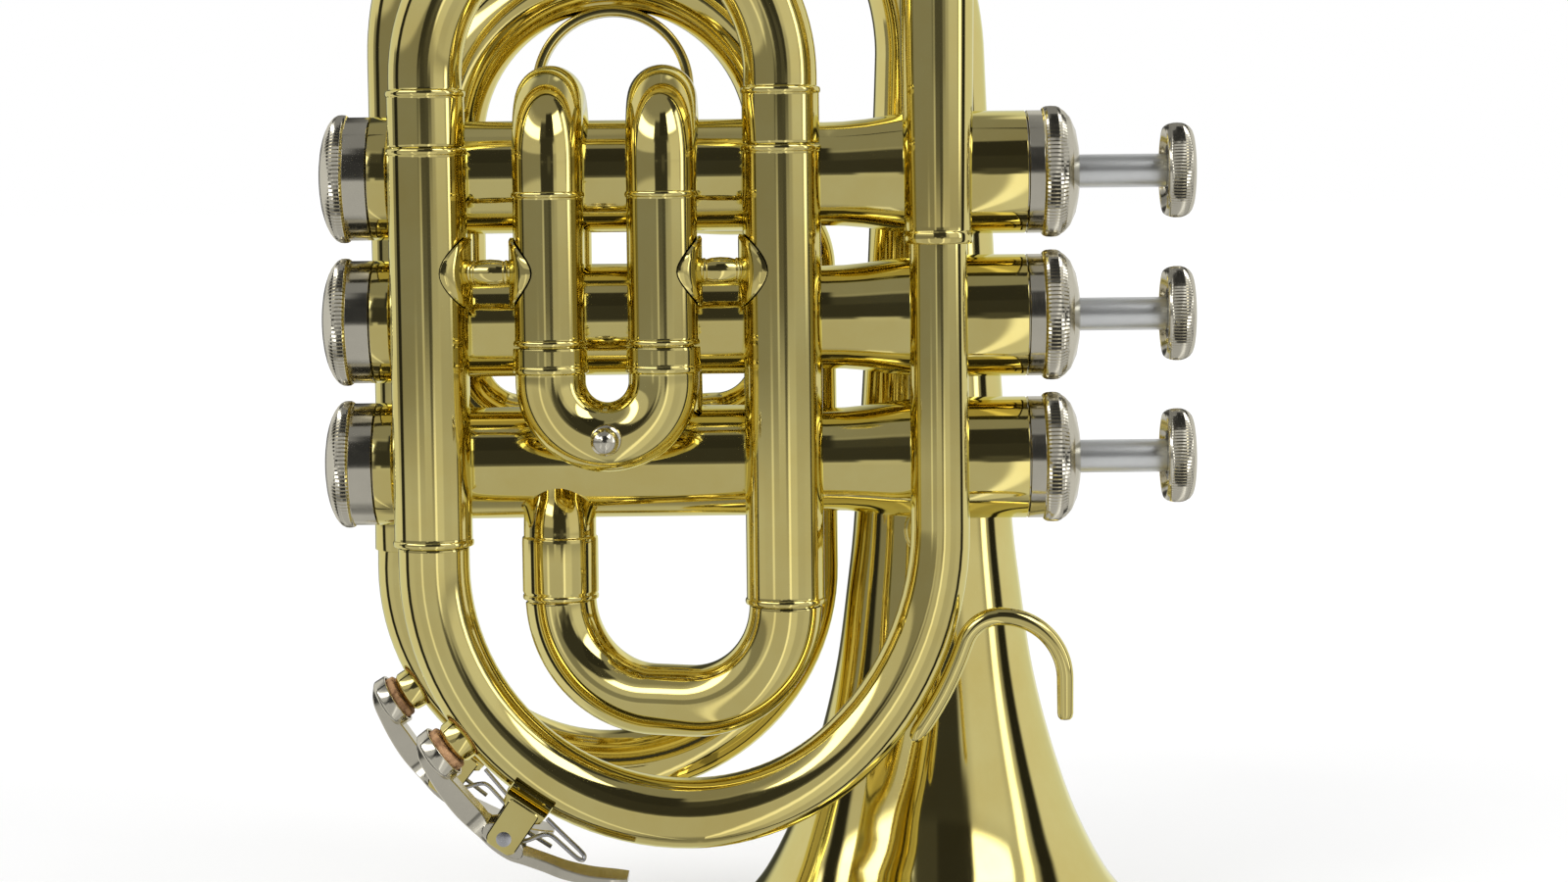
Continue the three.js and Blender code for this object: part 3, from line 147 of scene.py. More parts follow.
class TrumpetColours(bpy.types.PropertyGroup):
    brass: colour_property("Lacquered brass", "Colour of the lacquered brass", (0.8, 0.69, 0.26))
    brass_deep: colour_property("Deep brass", "Warmer brass in the mottling", (0.76, 0.62, 0.2))
    nickel: colour_property("Nickel", "Colour of the plated caps, buttons and levers",
                            (0.72, 0.68, 0.56))
    steel: colour_property("Steel", "Colour of pins and springs", (0.56, 0.56, 0.57))
    cork: colour_property("Cork", "Colour of the water keys' corks", (0.52, 0.3, 0.15))
    nylon: colour_property("Nylon", "Colour of the valve guides", (0.8, 0.77, 0.68))


def sizes():
    return bpy.context.scene.trumpet_sizes


def colours():
    return bpy.context.scene.trumpet_colours


# Shader nodes

COLOUR, VALUE, VECTOR = "NodeSocketColor", "NodeSocketFloat", "NodeSocketVector"
WHITE = (1, 1, 1, 1)


def feed(tree, node, inputs):
    """Gives a node's inputs their values, or links them to the sockets that feed them."""
    for name, value in inputs.items():
        if isinstance(value, bpy.types.NodeSocket):
            tree.links.new(value, node.inputs[name])
        else:
            node.inputs[name].default_value = value
    return node


def add_node(tree, kind, inputs=None, **settings):
    node = tree.nodes.new("ShaderNode" + kind)
    for name, value in settings.items():
        setattr(node, name, value)
    return feed(tree, node, inputs or {})


def maths(tree, operation, *values):
    return add_node(tree, "Math", dict(enumerate(values)), operation=operation).outputs[0]


def noise(tree, inputs):
    return add_node(tree, "TexNoise", inputs).outputs["Fac"]


def shared_group(name, inputs, outputs, build):
    """The node group of that name, built the first time it is asked for."""
    group = bpy.data.node_groups.get(name)
    if group:
        return group
    group = bpy.data.node_groups.new(name, "ShaderNodeTree")
    for label, (kind, default) in inputs.items():
        socket = group.interface.new_socket(name=label, in_out="INPUT", socket_type=kind)
        socket.default_value = default
    for label, kind in outputs.items():
        group.interface.new_socket(name=label, in_out="OUTPUT", socket_type=kind)
    start = group.nodes.new("NodeGroupInput").outputs
    place = add_node(group, "TexCoord").outputs["Object"]
    feed(group, group.nodes.new("NodeGroupOutput"), build(group, start, place))
    return group


def lacquer_mottle():
    """Soft clouds in colour and gloss, as lacquer and handling leave them."""
    def build(group, start, place):
        clouds = noise(group, {
            "Vector": place, "Scale": start["Scale"], "Detail": 5, "Roughness": 0.62})
        ramp = add_node(group, "MapRange", {"Value": clouds, "From Min": 0.36, "From Max": 0.72})
        mix = add_node(group, "Mix", {
            "Factor": ramp.outputs["Result"], "A": start["Colour"], "B": start["Deep colour"],
        }, data_type="RGBA")
        specks = noise(group, {"Vector": place, "Scale": 900, "Detail": 2})
        gloss = maths(group, "MULTIPLY_ADD", specks, start["Gloss spread"], start["Gloss"])
        return {"Colour": mix.outputs["Result"], "Roughness": gloss}

    return shared_group("Lacquer mottle", {
        "Colour": (COLOUR, WHITE), "Deep colour": (COLOUR, WHITE), "Scale": (VALUE, 60),
        "Gloss": (VALUE, 0.12), "Gloss spread": (VALUE, 0.08),
    }, {"Colour": COLOUR, "Roughness": VALUE}, build)


def polish_marks():
    """Fine buffing lines along one direction, and the slow waves of hand-drawn metal."""
    def build(group, start, place):
        stretch = add_node(group, "VectorMath", {0: place, 1: start["Line stretch"]},
                           operation="MULTIPLY")
        lines = noise(group, {"Vector": stretch.outputs[0], "Scale": 1, "Detail": 3})
        waves = noise(group, {"Vector": place, "Scale": start["Wave scale"], "Detail": 1})
        fine = maths(group, "MULTIPLY", lines, start["Lines"])
        return {"Height": maths(group, "MULTIPLY_ADD", waves, start["Waves"], fine)}

    return shared_group("Polish marks", {
        "Line stretch": (VECTOR, (1500, 1500, 60)), "Lines": (VALUE, 0.03),
        "Wave scale": (VALUE, 55), "Waves": (VALUE, 0.3),
    }, {"Height": VALUE}, build)


# Materials

def shared_material(name, fill):
    """The material of that name, its nodes filled in the first time it is asked for."""
    material = bpy.data.materials.get(name)
    if not material:
        material = bpy.data.materials.new(name)
        material.use_nodes = True
        fill(material.node_tree, material.node_tree.nodes["Principled BSDF"])
    return material


def shade(colour, share):
    return [share * value for value in colour]


def mottled(tree, shader, colour, deep, gloss, spread):
    """Gives a shader a colour and a gloss in soft clouds."""
    mottle = add_node(tree, "Group", node_tree=lacquer_mottle(), inputs={
        "Colour": (*colour, 1), "Deep colour": (*deep, 1), "Gloss": gloss, "Gloss spread": spread})
    feed(tree, shader, {
        "Base Color": mottle.outputs["Colour"], "Roughness": mottle.outputs["Roughness"]})


def polished_metal(name, colour, deep, gloss, spread, stretch, lines, waves, coat=0,
                   edge=(1, 1, 1)):
    """A plated or lacquered metal with mottling, buffing lines and slow waves."""
    def fill(tree, shader):
        mottled(tree, shader, colour, deep, gloss, spread)
        marks = add_node(tree, "Group", node_tree=polish_marks(), inputs={
            "Line stretch": stretch, "Lines": lines, "Waves": waves})
        bump = add_node(tree, "Bump", {
            "Strength": 0.06, "Distance": 0.0002, "Height": marks.outputs["Height"]})
        feed(tree, shader, {
            "Metallic": 1, "Coat Weight": coat, "Coat Roughness": 0.04,
            "Specular Tint": (*edge, 1), "Normal": bump.outputs["Normal"]})

    return shared_material(name, fill)


def brass():
    c = colours()
    return polished_metal("Lacquered brass", c.brass, c.brass_deep, 0.05, 0.02, (900, 900, 60),
                          0.001, 0.14, coat=0.35, edge=(0.92, 0.95, 0.66))


def nickel():
    colour = colours().nickel
    return polished_metal("Nickel plate", colour, shade(colour, 0.86), 0.09, 0.08,
                          (60, 900, 900), 0.02, 0.12, edge=(0.86, 0.85, 0.8))


def satin_nickel():
    colour = (0.8, 0.81, 0.8)
    return polished_metal("Satin nickel", colour, shade(colour, 0.9), 0.34, 0.08,
                          (60, 1400, 1400), 0.12, 0.05)


def steel():
    colour = colours().steel
    return polished_metal("Spring steel", colour, shade(colour, 0.8), 0.22, 0.12,
                          (1200, 1200, 1200), 0.08, 0.1)


def cork():
    """Cork with darker pores and a soft crumbly surface."""
    def fill(tree, shader):
        place = add_node(tree, "TexCoord").outputs["Object"]
        cells = add_node(tree, "TexVoronoi", {"Vector": place, "Scale": 1500})
        pores = noise(tree, {"Vector": place, "Scale": 700, "Detail": 6})
        ramp = add_node(tree, "ValToRGB", {"Fac": pores})
        light = colours().cork
        pore, face = ramp.color_ramp.elements
        pore.position, face.position = 0.35, 0.56
        pore.color = (light[0] * 0.35, light[1] * 0.3, light[2] * 0.25, 1)
        face.color = (*light, 1)
        bump = add_node(tree, "Bump", {
            "Strength": 0.6, "Distance": 0.0002, "Height": cells.outputs["Distance"]})
        feed(tree, shader, {
            "Roughness": 0.85, "Base Color": ramp.outputs["Color"],
            "Normal": bump.outputs["Normal"]})

    return shared_material("Cork", fill)


def nylon():
    """Plain moulded nylon with a faint unevenness."""
    def fill(tree, shader):
        colour = colours().nylon
        mottled(tree, shader, colour, shade(colour, 0.9), 0.4, 0.15)

    return shared_material("Nylon", fill)


# Making meshes

BODY_OF = {member: body for body, members in frame["record"]["behaviour"]["bodies"].items()
           for member in members}


def mesh_from(name, bm):
    mesh = bpy.data.meshes.new(name)
    bm.to_mesh(mesh)
    bm.free()
    return mesh


def place_object(name, data):
    holder = bpy.data.objects.new(name, data)
    bpy.context.scene.collection.objects.link(holder)
    return holder


def finish_piece(node, bm, material=None, sharp=0.55, ride=True):
    """Turns a bmesh in millimetres into the piece that stands for a CAD node."""
    bmesh.ops.remove_doubles(bm, verts=bm.verts, dist=0.0005)
    bmesh.ops.recalc_face_normals(bm, faces=bm.faces)
    bmesh.ops.scale(bm, vec=(MM, MM, MM), verts=bm.verts)
    name = f"dressed_{node}"
    mesh = mesh_from(name, bm)
    mesh.shade_smooth()
    mesh.set_sharp_from_angle(angle=sharp)
    mesh.materials.append(material or brass())
    piece = place_object(name, mesh)
    if ride:
        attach(piece, BODY_OF[node])
    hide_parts(node)
    return piece


def rounded(outline, radius, steps=3):
    """The outline with each inner corner cut by a small arc."""
    out = [outline[0]]
    for before, corner, after in zip(outline, outline[1:], outline[2:]):
        middle = Vector(corner[:2])
        a, b = Vector(before[:2]) - middle, Vector(after[:2]) - middle
        cut = min(radius, 0.45 * a.length, 0.45 * b.length)
        if cut < 0.01 or a.angle(b) > 2.9:
            out.append(corner)
            continue
        p, q = middle + a.normalized() * cut, middle + b.normalized() * cut
        for t in [i / steps for i in range(steps + 1)]:
            point = (1 - t) ** 2 * p + 2 * t * (1 - t) * middle + t * t * q
            out.append((*point, *corner[2:]))
    return [*out, outline[-1]]


def closed(outline, radius, steps=3):
    """A closed outline with every corner rounded."""
    return rounded([outline[-1], *outline, outline[0]], radius, steps)[1:-1]


def square_to(axis, way):
    """The direction nearest to a given one that is square to an axis."""
    return (way - axis * way.dot(axis)).normalized()


def bridge(bm, rings, loop=False):
    """Faces between neighbouring rings of vertices, each ring closed on itself."""
    for a, b in zip(rings, rings[1:] + (rings[:1] if loop else [])):
        for k in range(len(a)):
            bm.faces.new((a[k - 1], a[k], b[k], b[k - 1]))


def loft(bm, rings):
    """A solid through rings of vertices, shut at both ends."""
    bridge(bm, rings)
    bm.faces.new(list(reversed(rings[0])))
    bm.faces.new(rings[-1])


def ring_at(bm, centre, side, other, radius, sides, notch=0):
    """A round ring of vertices; every second one is notched inwards."""
    ring = []
    for k in range(sides):
        angle = 2 * pi * k / sides
        spoke = side * cos(angle) + other * sin(angle)
        ring.append(bm.verts.new(centre + spoke * max(radius - notch * (k % 2), 0)))
    return ring


def turn(bm, start, axis, outline, sides, loop=True):
    """Turns an outline of (along, radius, knurl share) about an axis."""
    side = square_to(axis, UP if abs(axis.z) < 0.5 else RIGHT)
    other = axis.cross(side)
    depth = sizes().knurl_depth / MM
    rings = []
    for along, radius, *knurl in outline:
        notch = knurl[0] * depth if knurl else 0
        rings.append(ring_at(bm, start + axis * along, side, other, radius, sides, notch))
    bridge(bm, rings, loop)


def turned(node, start, axis, outline, sides, material=None, loop=True):
    """A piece that is turned in one go."""
    bm = bmesh.new()
    turn(bm, start, axis, outline, sides, loop)
    finish_piece(node, bm, material)


class Route:
    """The centre line of a tube, laid piece by piece: straight runs and round bends."""

    def __init__(self, start, heading):
        self.pieces, self.knots, self.length = [], [0], 0
        side = square_to(heading, UP if abs(heading.x) > 0.5 else RIGHT)
        self.tip = (Vector(start), heading.normalized(), side)

    def line(self, length):
        at, heading, side = self.tip
        return self.add(length, 1, lambda s: (at + heading * s, heading, side))

    def bend(self, towards, radius, angle, fineness=3.5):
        at, heading, side = self.tip
        inward = square_to(heading, towards)
        axis = heading.cross(inward)
        centre = at + inward * radius

        def place(s):
            swing = Quaternion(axis, s / radius)
            return centre + swing @ (at - centre), swing @ heading, swing @ side

        steps = max(2, ceil(degrees(angle) / fineness))
        return self.add(radius * angle, steps, place)

    def add(self, length, steps, place):
        self.pieces.append((self.length, self.length + length, place))
        self.knots += [self.length + length * (i + 1) / steps for i in range(steps)]
        self.length += length
        self.tip = place(length)
        return self

    def at(self, s):
        for begin, end, place in self.pieces:
            if s <= end:
                break
        inside = min(max(s, begin), end) - begin
        at, heading, side = place(inside)
        return at + heading * (s - begin - inside), heading, side


def radius_at(profile, s):
    for (s0, r0), (s1, r1) in zip(profile, profile[1:]):
        if s <= s1:
            return r0 + (r1 - r0) * (s - s0) / max(s1 - s0, 1e-9)
    return profile[-1][1]


def route_rings(bm, route, profile, sides):
    """Rings along a route, at the profile's points and at the route's knots between them."""
    begin, end = profile[0][0], profile[-1][0]
    inner = [(s, radius_at(profile, s)) for s in route.knots
             if begin < s < end and all(abs(s - p[0]) > 0.02 for p in profile)]
    rings = []
    for s, radius in sorted([*profile, *inner], key=lambda item: item[0]):
        at, heading, side = route.at(s)
        rings.append(ring_at(bm, at, side, heading.cross(side), radius, sides))
    return rings


def pipe_into(bm, route, outer, bore, round_by=0.12):
    """A tube with a thick wall along a route, its edges softened."""
    sides = sizes().tube_sides
    begin, end = outer[0], outer[-1]
    lip = [(begin[0], begin[1] - WALL / 2), *outer, (end[0], end[1] - WALL / 2)]
    rings = route_rings(bm, route, monotone(rounded(lip, round_by, 2)), sides)
    hole = bore if isinstance(bore, list) else [(begin[0], bore), (end[0], bore)]
    rings += reversed(route_rings(bm, route, hole, sides))
    bridge(bm, rings, loop=True)


def monotone(profile):
    """Keeps a rounded profile running forwards, a hair at a time."""
    out, last = [], -inf
    for s, radius in profile:
        last = max(s, last + 0.0008)
        out.append((last, radius))
    return out


def pipe(node, route, outer, bore, round_by=0.12):
    bm = bmesh.new()
    pipe_into(bm, route, outer, bore, round_by)
    return finish_piece(node, bm)


def mirrored(half, length, middle=()):
    """A profile for a whole length, or both sides of 0, from one half of it."""
    return [*half, *middle, *[(length - s, radius) for s, radius in reversed(half)]]


def bead(s, radius, rise, width):
    """Profile points of a round bead."""
    half = width / 2
    return [(s + half - half * cos(t), radius + rise * sin(t))
            for t in [pi * i / 6 for i in range(7)]]


# Valves

CASING = [
    (-100.3, 9.6), (-100.3, 10.9), (-97, 10.9), (-96.6, 9.95), (-35, 9.9), (-30, 9.72),
    (-24.5, 9.3), (-20.4, 9.16), (-17, 9.25), (-13, 9.62), (-9, 10.2), (-6.2, 10.52), (-2, 10.72),
    (5, 10.85), (15.2, 10.85), (15.2, 9.9), (-5, 9.9), (-9, 8.6), (-96.7, 8.6), (-96.7, 9.6),
]
TOP_CAP = [
    (12.3, 8.6), (12.3, 9.6), (15.5, 9.6), (15.5, 10.85), (18.1, 10.85), (18.25, 11.1, 0.6),
    (18.5, 11.35, 1), (19, 11.55, 1), (19.9, 11.6, 1), (20.8, 11.55, 1), (21.3, 11.35, 1),
    (21.6, 11.1, 1), (22.2, 10.7, 0.6), (23.2, 9.6), (24.1, 7.6), (24.6, 5.2), (24.7, 4.2),
    (24.7, 3.25), (22.9, 3.25), (21.4, 8.6),
]
BOTTOM_CAP = [
    (-109.6, 1.2), (-109.58, 3.2), (-109.4, 5), (-109.1, 6.6), (-108.8, 7.7, 0.3),
    (-108.4, 8.8, 0.8), (-107.9, 9.8, 1), (-107.4, 10.5, 1), (-106.9, 11, 1),
    (-106.3, 11.3, 1), (-105.7, 11.35, 1), (-105.1, 11.3, 1), (-104.8, 11.1, 1),
    (-104.6, 10.9, 0.4), (-100.6, 10.9), (-100.6, 9.3), (-97, 9.3), (-97, 8.3), (-103.4, 8.3),
    (-104.5, 1.2),
]
BUTTON = [
    (40.3, 3.25), (40.5, 4.4), (41.2, 5.2), (41.5, 6), (41.2, 6.7), (40.5, 7.1), (40, 7.35),
    (39.9, 7.6), (40.1, 7.85), (40.5, 8.08, 0.5), (41, 8.25, 1), (41.7, 8.38, 1), (42.4, 8.4, 1),
    (43.1, 8.35, 1), (43.7, 8.15, 0.8), (44.3, 7.8, 0.3), (44.8, 7.2), (45, 6.6), (45, 6.1),
    (44.95, 5.4), (45.1, 4.2), (45.3, 2.4), (45.4, 0), (43, 0), (43, 3.25),
]
STEM = [(9.9, 0), (9.9, 2.95), (42.6, 2.95), (42.6, 0)]


def valve_spring(number):
    """The coil that returns the valve, squashed towards its guide as the valve is pressed."""
    start, end, mean, wire, turns = -14.2, 9, 5.3, 0.42, 8
    bm = bmesh.new()
    steps = 20 * turns
    rings = []
    for i in range(steps + 1):
        angle = 2 * pi * turns * i / steps
        along = start + (end - start) * i / steps
        out = Vector((0, cos(angle), sin(angle)))
        centre = Vector((along, VALVE_Y, valve_z(number))) + out * mean
        rings.append(ring_at(bm, centre, out, RIGHT, wire, 6))
    loft(bm, rings)
    piece = finish_piece(f"valve_{number}_spring", bm, steel())
    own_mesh(piece)


class TRUMPET_OT_valves(bpy.types.Operator):
    """Builds the valve casings, caps, stems, buttons and springs"""
    bl_idname = "trumpet.valves"
    bl_label = "Valves"

    def execute(self, context):
        teeth = 2 * sizes().knurl_teeth
        for number in (1, 2, 3):
            centre = Vector((0, VALVE_Y, valve_z(number)))
            for what, outline, sides, material, round_by in (
                    ("casing", CASING, CASING_SIDES, brass(), 0.15),
                    ("top_cap", TOP_CAP, teeth, nickel(), 0.08),
                    ("bottom_cap", BOTTOM_CAP, teeth, nickel(), 0.08),
                    ("button", BUTTON, BUTTON_SIDES, nickel(), 0.08)):
                shape = closed(outline, round_by)
                turned(f"valve_{number}_{what}", centre, RIGHT, shape, sides, material)
            turned(f"valve_{number}_stem", centre, RIGHT, rounded(STEM, 0.3), STEM_SIDES,
                   satin_nickel(), loop=False)
            valve_spring(number)
            for what, material in (("guide", nylon()), ("piston", nickel())):
                inner = frame["nodes"][f"valve_{number}_{what}"]
                inner.data.materials.clear()
                inner.data.materials.append(material)
        for name, x, lower in (("knuckle_1_2", LOW_PORT, 2), ("knuckle_2_3", HIGH_PORT, 3)):
            reach = sqrt(CASING_BODY ** 2 - KNUCKLE ** 2) - 0.4
            route = Route((x, VALVE_Y, valve_z(lower) + reach), UP)
            route.line(VALVE_PITCH - 2 * reach)
            half = [(0, 6.5), (0.9, 6.2), (1.6, KNUCKLE)]
            pipe(name, route, mirrored(half, route.length), SLIDE_BORE)
        return {"FINISHED"}


# Places of the water keys

def key_frame(along, out, foot):
    """A frame with X along the bow, Y towards the viewer and Z out of the bow."""
    return Matrix.Translation(foot) @ Matrix((along, FRONT, out)).transposed().to_4x4()


class KeyPlace:
    """Where a water key stands on its bow, at an angle about the bow's centre."""

    def __init__(self, centre, surface, tube, angle):
        self.centre, self.surface, self.tube = centre, surface, tube
        self.out = Vector((cos(angle), 0, sin(angle)))
        self.foot = centre + self.out * surface
        along = Vector((-sin(angle), 0, cos(angle)))
        self.matrix = key_frame(along, self.out, self.foot)


NIPPLE = [(-3.2, 1.3), (-3.2, 3.6), (-0.6, 3.9), (0.4, 3.9), (1.5, 3.85), (2.2, 3.3), (2.2, 1.3)]


def nipple_into(bm, key):
    """The short drain spout that a water key shuts."""
    turn(bm, key.foot, key.out, closed(NIPPLE, 0.2), 40)


# Tubing on the front plane

LEAD_TOP_Z = 150
UPPER_SLEEVE_Z, LOWER_SLEEVE_Z, SLEEVE_TOP_Z = 82, 71.3, 150.4
SLEEVE_REACH = 6
RECEIVER = [
    (133.2, 5.25), (133.2, 5.7), (133.45, 5.9), (133.9, 5.98), (134.3, 5.98), (134.75, 5.98),
    (135.15, 5.9), (135.4, 5.72), (136.2, 5.75), (165, 6.2), (207, 6.65), (210.5, 6.95),
    (213, 7.55), (213.8, 7.6), (217.2, 7.6), (218, 7), (218, 5.6), (217.6, 5.35), (192, 4.95),
    (150.3, 4.95), (150.3, 5.25),
]


def lead_route():
    """The lead pipe's route, and where its bow begins and ends along it."""
    route = Route((LEAD_X, FRONT_Y, LEAD_TOP_Z), DOWN)
    route.line(LEAD_TOP_Z - LEAD_BOW_Z - LEAD_EARLY_BEND)
    start = route.length
    route.bend(LEFT, LEAD_SIDE_R, pi / 4).bend(LEFT, LEAD_UNDER_R, pi / 4)
    route.bend(UP, LEAD_BOW_R, pi / 2)
    end = route.length
    route.line(UPPER_SLEEVE_Z - LEAD_BOW_Z + SLEEVE_REACH)
    return route, start, end


def front_key_place():
    centre = Vector((LEAD_X - LEAD_BOW_R, FRONT_Y, LEAD_BOW_Z))
    return KeyPlace(centre, LEAD_BOW_R + LEAD_BOW_TUBE - WALL / 4, LEAD_BOW_TUBE, 3.79)


def sleeve(node, x, foot):
    """An outer slide tube with a bead at each end."""
    route = Route((x, FRONT_Y, foot), UP).line(SLEEVE_TOP_Z - foot)
    half = [*bead(0, MAIN_TUBE, 0.25, 1.1), (1.6, MAIN_TUBE)]
    pipe(node, route, mirrored(half, route.length), MAIN_CORE, 0.05)


def lead_pipe():
    route, start, end = lead_route()
    full = (start + end) / 2
    outer = [(0, 4.95), (18, 4.95), (55, 5.1), (start, 5.1),
             *[(s, LEAD_BOW_TUBE) for s in (full, end, end + 2.8, end + 3.2)],
             (end + 3.25, MAIN_LEG), (route.length, MAIN_LEG)]
    bore = [(0, 4.1), (18, 4.1), (start, 4.5), (full, MAIN_BORE), (route.length, MAIN_BORE)]
    bm = bmesh.new()
    pipe_into(bm, route, outer, bore)
    nipple_into(bm, front_key_place())
    finish_piece("lead_pipe", bm)


def receiver():
    foot = Vector((LEAD_X, FRONT_Y, 0))
    turned("mouthpiece_receiver", foot, UP, closed(RECEIVER, 0.12), 64)


def tuning_slide():
    radius = (LOWER_TUBE_X - UPPER_TUBE_X) / 2
    route = bow_route((UPPER_TUBE_X, FRONT_Y, 96), UP, radius, 66.4)
    pipe("main_tuning_slide", route,
         slide_profile(route, 54.7, 9.7, MAIN_LEG, 6.65, MAIN_BOW, 0.25), MAIN_BORE)


def lower_bow():
    span = Vector((LOW_PORT - LOWER_TUBE_X, ENTRY_Y - FRONT_Y, 0))
    radius = 17.7
    route = Route((LOWER_TUBE_X, FRONT_Y, LOWER_SLEEVE_Z + SLEEVE_REACH), DOWN).line(6.1)
    route.bend(span.normalized(), radius, pi / 2).line(span.length - 2 * radius)
    route.bend(UP, radius, pi / 2).line(5.7)
    half = [(0, MAIN_LEG), (5.9, MAIN_LEG), (6.3, MAIN_LEG), (6.35, MAIN_BOW), (6.8, MAIN_BOW)]
    pipe("lower_bow", route, mirrored(half, route.length), MAIN_BORE)


def entry_tube():
    route = Route((LOW_PORT, ENTRY_Y, 70.9), UP).line(11.2)
    route.bend(BACK, 8, pi / 6).line(5.6)
    outer = [*bead(0, MAIN_TUBE - 0.2, 0.2, 0.9), (1.4, MAIN_TUBE), (10.2, MAIN_TUBE),
             (11, MAIN_TUBE - 0.05), (11.2, 6.42), (route.length - 1, 6.4),
             (route.length, 6.6)]
    pipe("valve_3_entry_tube", route, outer, MAIN_BORE)


class TRUMPET_OT_main_tubing(bpy.types.Operator):
    """Builds the lead pipe, receiver, main tubes, tuning slide, lower bow and entry tube"""
    bl_idname = "trumpet.main_tubing"
    bl_label = "Main tubing"

    def execute(self, context):
        lead_pipe()
        receiver()
        sleeve("main_tube_upper", UPPER_TUBE_X, UPPER_SLEEVE_Z)
        sleeve("main_tube_lower", LOWER_TUBE_X, LOWER_SLEEVE_Z)
        tuning_slide()
        lower_bow()
        entry_tube()
        return {"FINISHED"}


def bow_route(start, heading, radius, straight):
    """Half a circle towards the right, between two straight legs."""
    route = Route(start, heading).line(straight)
    return route.bend(RIGHT, radius, pi).line(straight)


def slide_profile(route, leg, ferrule, leg_radius, ferrule_radius, bow_radius, rise):
    """Legs, then a ferrule with a bead at each end of the bow, and the bow between them."""
    top = leg + ferrule
    half = [(0, leg_radius), (leg - 0.4, leg_radius), (leg, leg_radius),
            (leg + 0.02, ferrule_radius), (leg + 0.5, ferrule_radius),
            (top - 1.6, ferrule_radius), *bead(top - 1.2, ferrule_radius, rise, 1.1),
            (top + 0.05, bow_radius), (top + 0.4, bow_radius), (top + 0.8, bow_radius)]
    return mirrored(half, route.length)


# Valve slides

KNOB = [(-2, 0), (-2, 2.6), (0.3, 2.7), (0.8, 2.55), (1.1, 2.1), (1.3, 1.6), (2, 1.5),
        (2.6, 1.6), (3, 1.95), (3.6, 2.3), (4.4, 2.4), (5.2, 2.3), (6, 1.85), (6.5, 1.2),
        (6.75, 0.5), (6.8, 0)]
THIRD_BOW_X, THIRD_BOW_R = -88.4, 30.1


def slide_tube(route, bead_at=None, start=0):
    """An outer tube with a bead at its mouth, and one more where it's asked for."""
    middle = []
    if bead_at:
        middle = [*bead(bead_at, SLIDE_TUBE, 0.3, 1), (bead_at + 1.4, SLIDE_TUBE)]
    return [(start, SLIDE_TUBE), *middle, (route.length - 1.3, SLIDE_TUBE),
            *bead(route.length - 1, SLIDE_TUBE, 0.3, 0.98)]


def crook_profile(route, leg, ferrule, bow_radius=SLIDE_TUBE):
    return slide_profile(route, leg, ferrule, SLIDE_LEG, SLIDE_FERRULE, bow_radius, 0.15)


def first_slide():
    radius = (VALVE_Y - FIRST_SLIDE_Y) / 2
    height = 164.7 - SLIDE_TUBE - radius
    hidden = 0.35
    spoke = Vector((0, cos(hidden), sin(hidden)))
    for port, x in PORTS.items():
        centre = Vector((x, (VALVE_Y + FIRST_SLIDE_Y) / 2, height))
        route = Route(centre + spoke * radius, RIGHT.cross(spoke))
        route.bend(-spoke, radius, pi - hidden)
        arch = route.length
        route.line(height - 116.5)
        pipe(f"slide_1_tube_{port}", route, slide_tube(route, arch + height - 142.8), SLIDE_CORE)
    route = bow_route((LOW_PORT, FIRST_SLIDE_Y, 138), DOWN, CROOK, 27.6)
    pipe("slide_1_crook", route, crook_profile(route, 21.8, 4.4), SLIDE_BORE)
    foot = Vector((KNOB_X, FIRST_SLIDE_Y - SLIDE_TUBE - SEAM, 100.7))
    turned("slide_1_knob", foot, FRONT, rounded(KNOB, 0.1), 40, nickel(), loop=False)


def second_slide():
    height = valve_z(2)
    for port, x in PORTS.items():
        route = Route((x, VALVE_Y + 7.4, height), BACK).line(25.6)
        bm = bmesh.new()
        pipe_into(bm, route, slide_tube(route), SLIDE_CORE)
        for vertex in bm.verts:
            if vertex.co.y < VALVE_Y + CASING_SKIN:
                vertex.co.y = VALVE_Y + sqrt(CASING_SKIN ** 2 - (vertex.co.z - height) ** 2)
        finish_piece(f"slide_2_tube_{port}", bm)
    start, straight = -14, 22.4
    route = bow_route((LOW_PORT, start, height), BACK, CROOK, straight)
    bm = bmesh.new()
    pipe_into(bm, route, crook_profile(route, 16.3, 4.2), SLIDE_BORE)
    foot = Vector((KNOB_X, start + straight + CROOK + SLIDE_TUBE, height))
    turn(bm, foot, BACK, rounded([(-0.5, 0), *KNOB[1:]], 0.1), 40, loop=False)
    finish_piece("slide_2_crook", bm)


def third_slide():
    angle, elbow = 0.27, 8.1
    out = Vector((0, cos(angle), sin(angle)))
    reach = (REAR_SLIDE_Y - VALVE_Y) / cos(angle)
    rise = reach * sin(angle)
    for (port, x), leg in zip(PORTS.items(), (THIRD_BOW_X, THIRD_BOW_X + 2 * THIRD_BOW_R)):
        second = abs(leg - x) - elbow
        route = Route((x, VALVE_Y, valve_z(3)), out).line(reach - elbow)
        route.bend(LEFT if leg < x else RIGHT, elbow, pi / 2)
        route.bend(UP, second, pi / 2)
        route.line(140 - valve_z(3) - rise - second)
        pipe(f"slide_3_tube_{port}", route, slide_tube(route, start=8.6), SLIDE_CORE)
    route = bow_route((THIRD_BOW_X, REAR_SLIDE_Y, 122), UP, THIRD_BOW_R, 29.9)
    pipe("slide_3_bow", route, crook_profile(route, 18.3, 4.7, 6.1), SLIDE_BORE)


def finger_ring():
    band = closed([(-2.3, 12.85), (-2.3, 14.7), (2.3, 14.7), (2.3, 12.85)], 0.6, 5)
    turned("slide_3_finger_ring", Vector((-58.5, REAR_SLIDE_Y, 161.8)), BACK, band, 96)


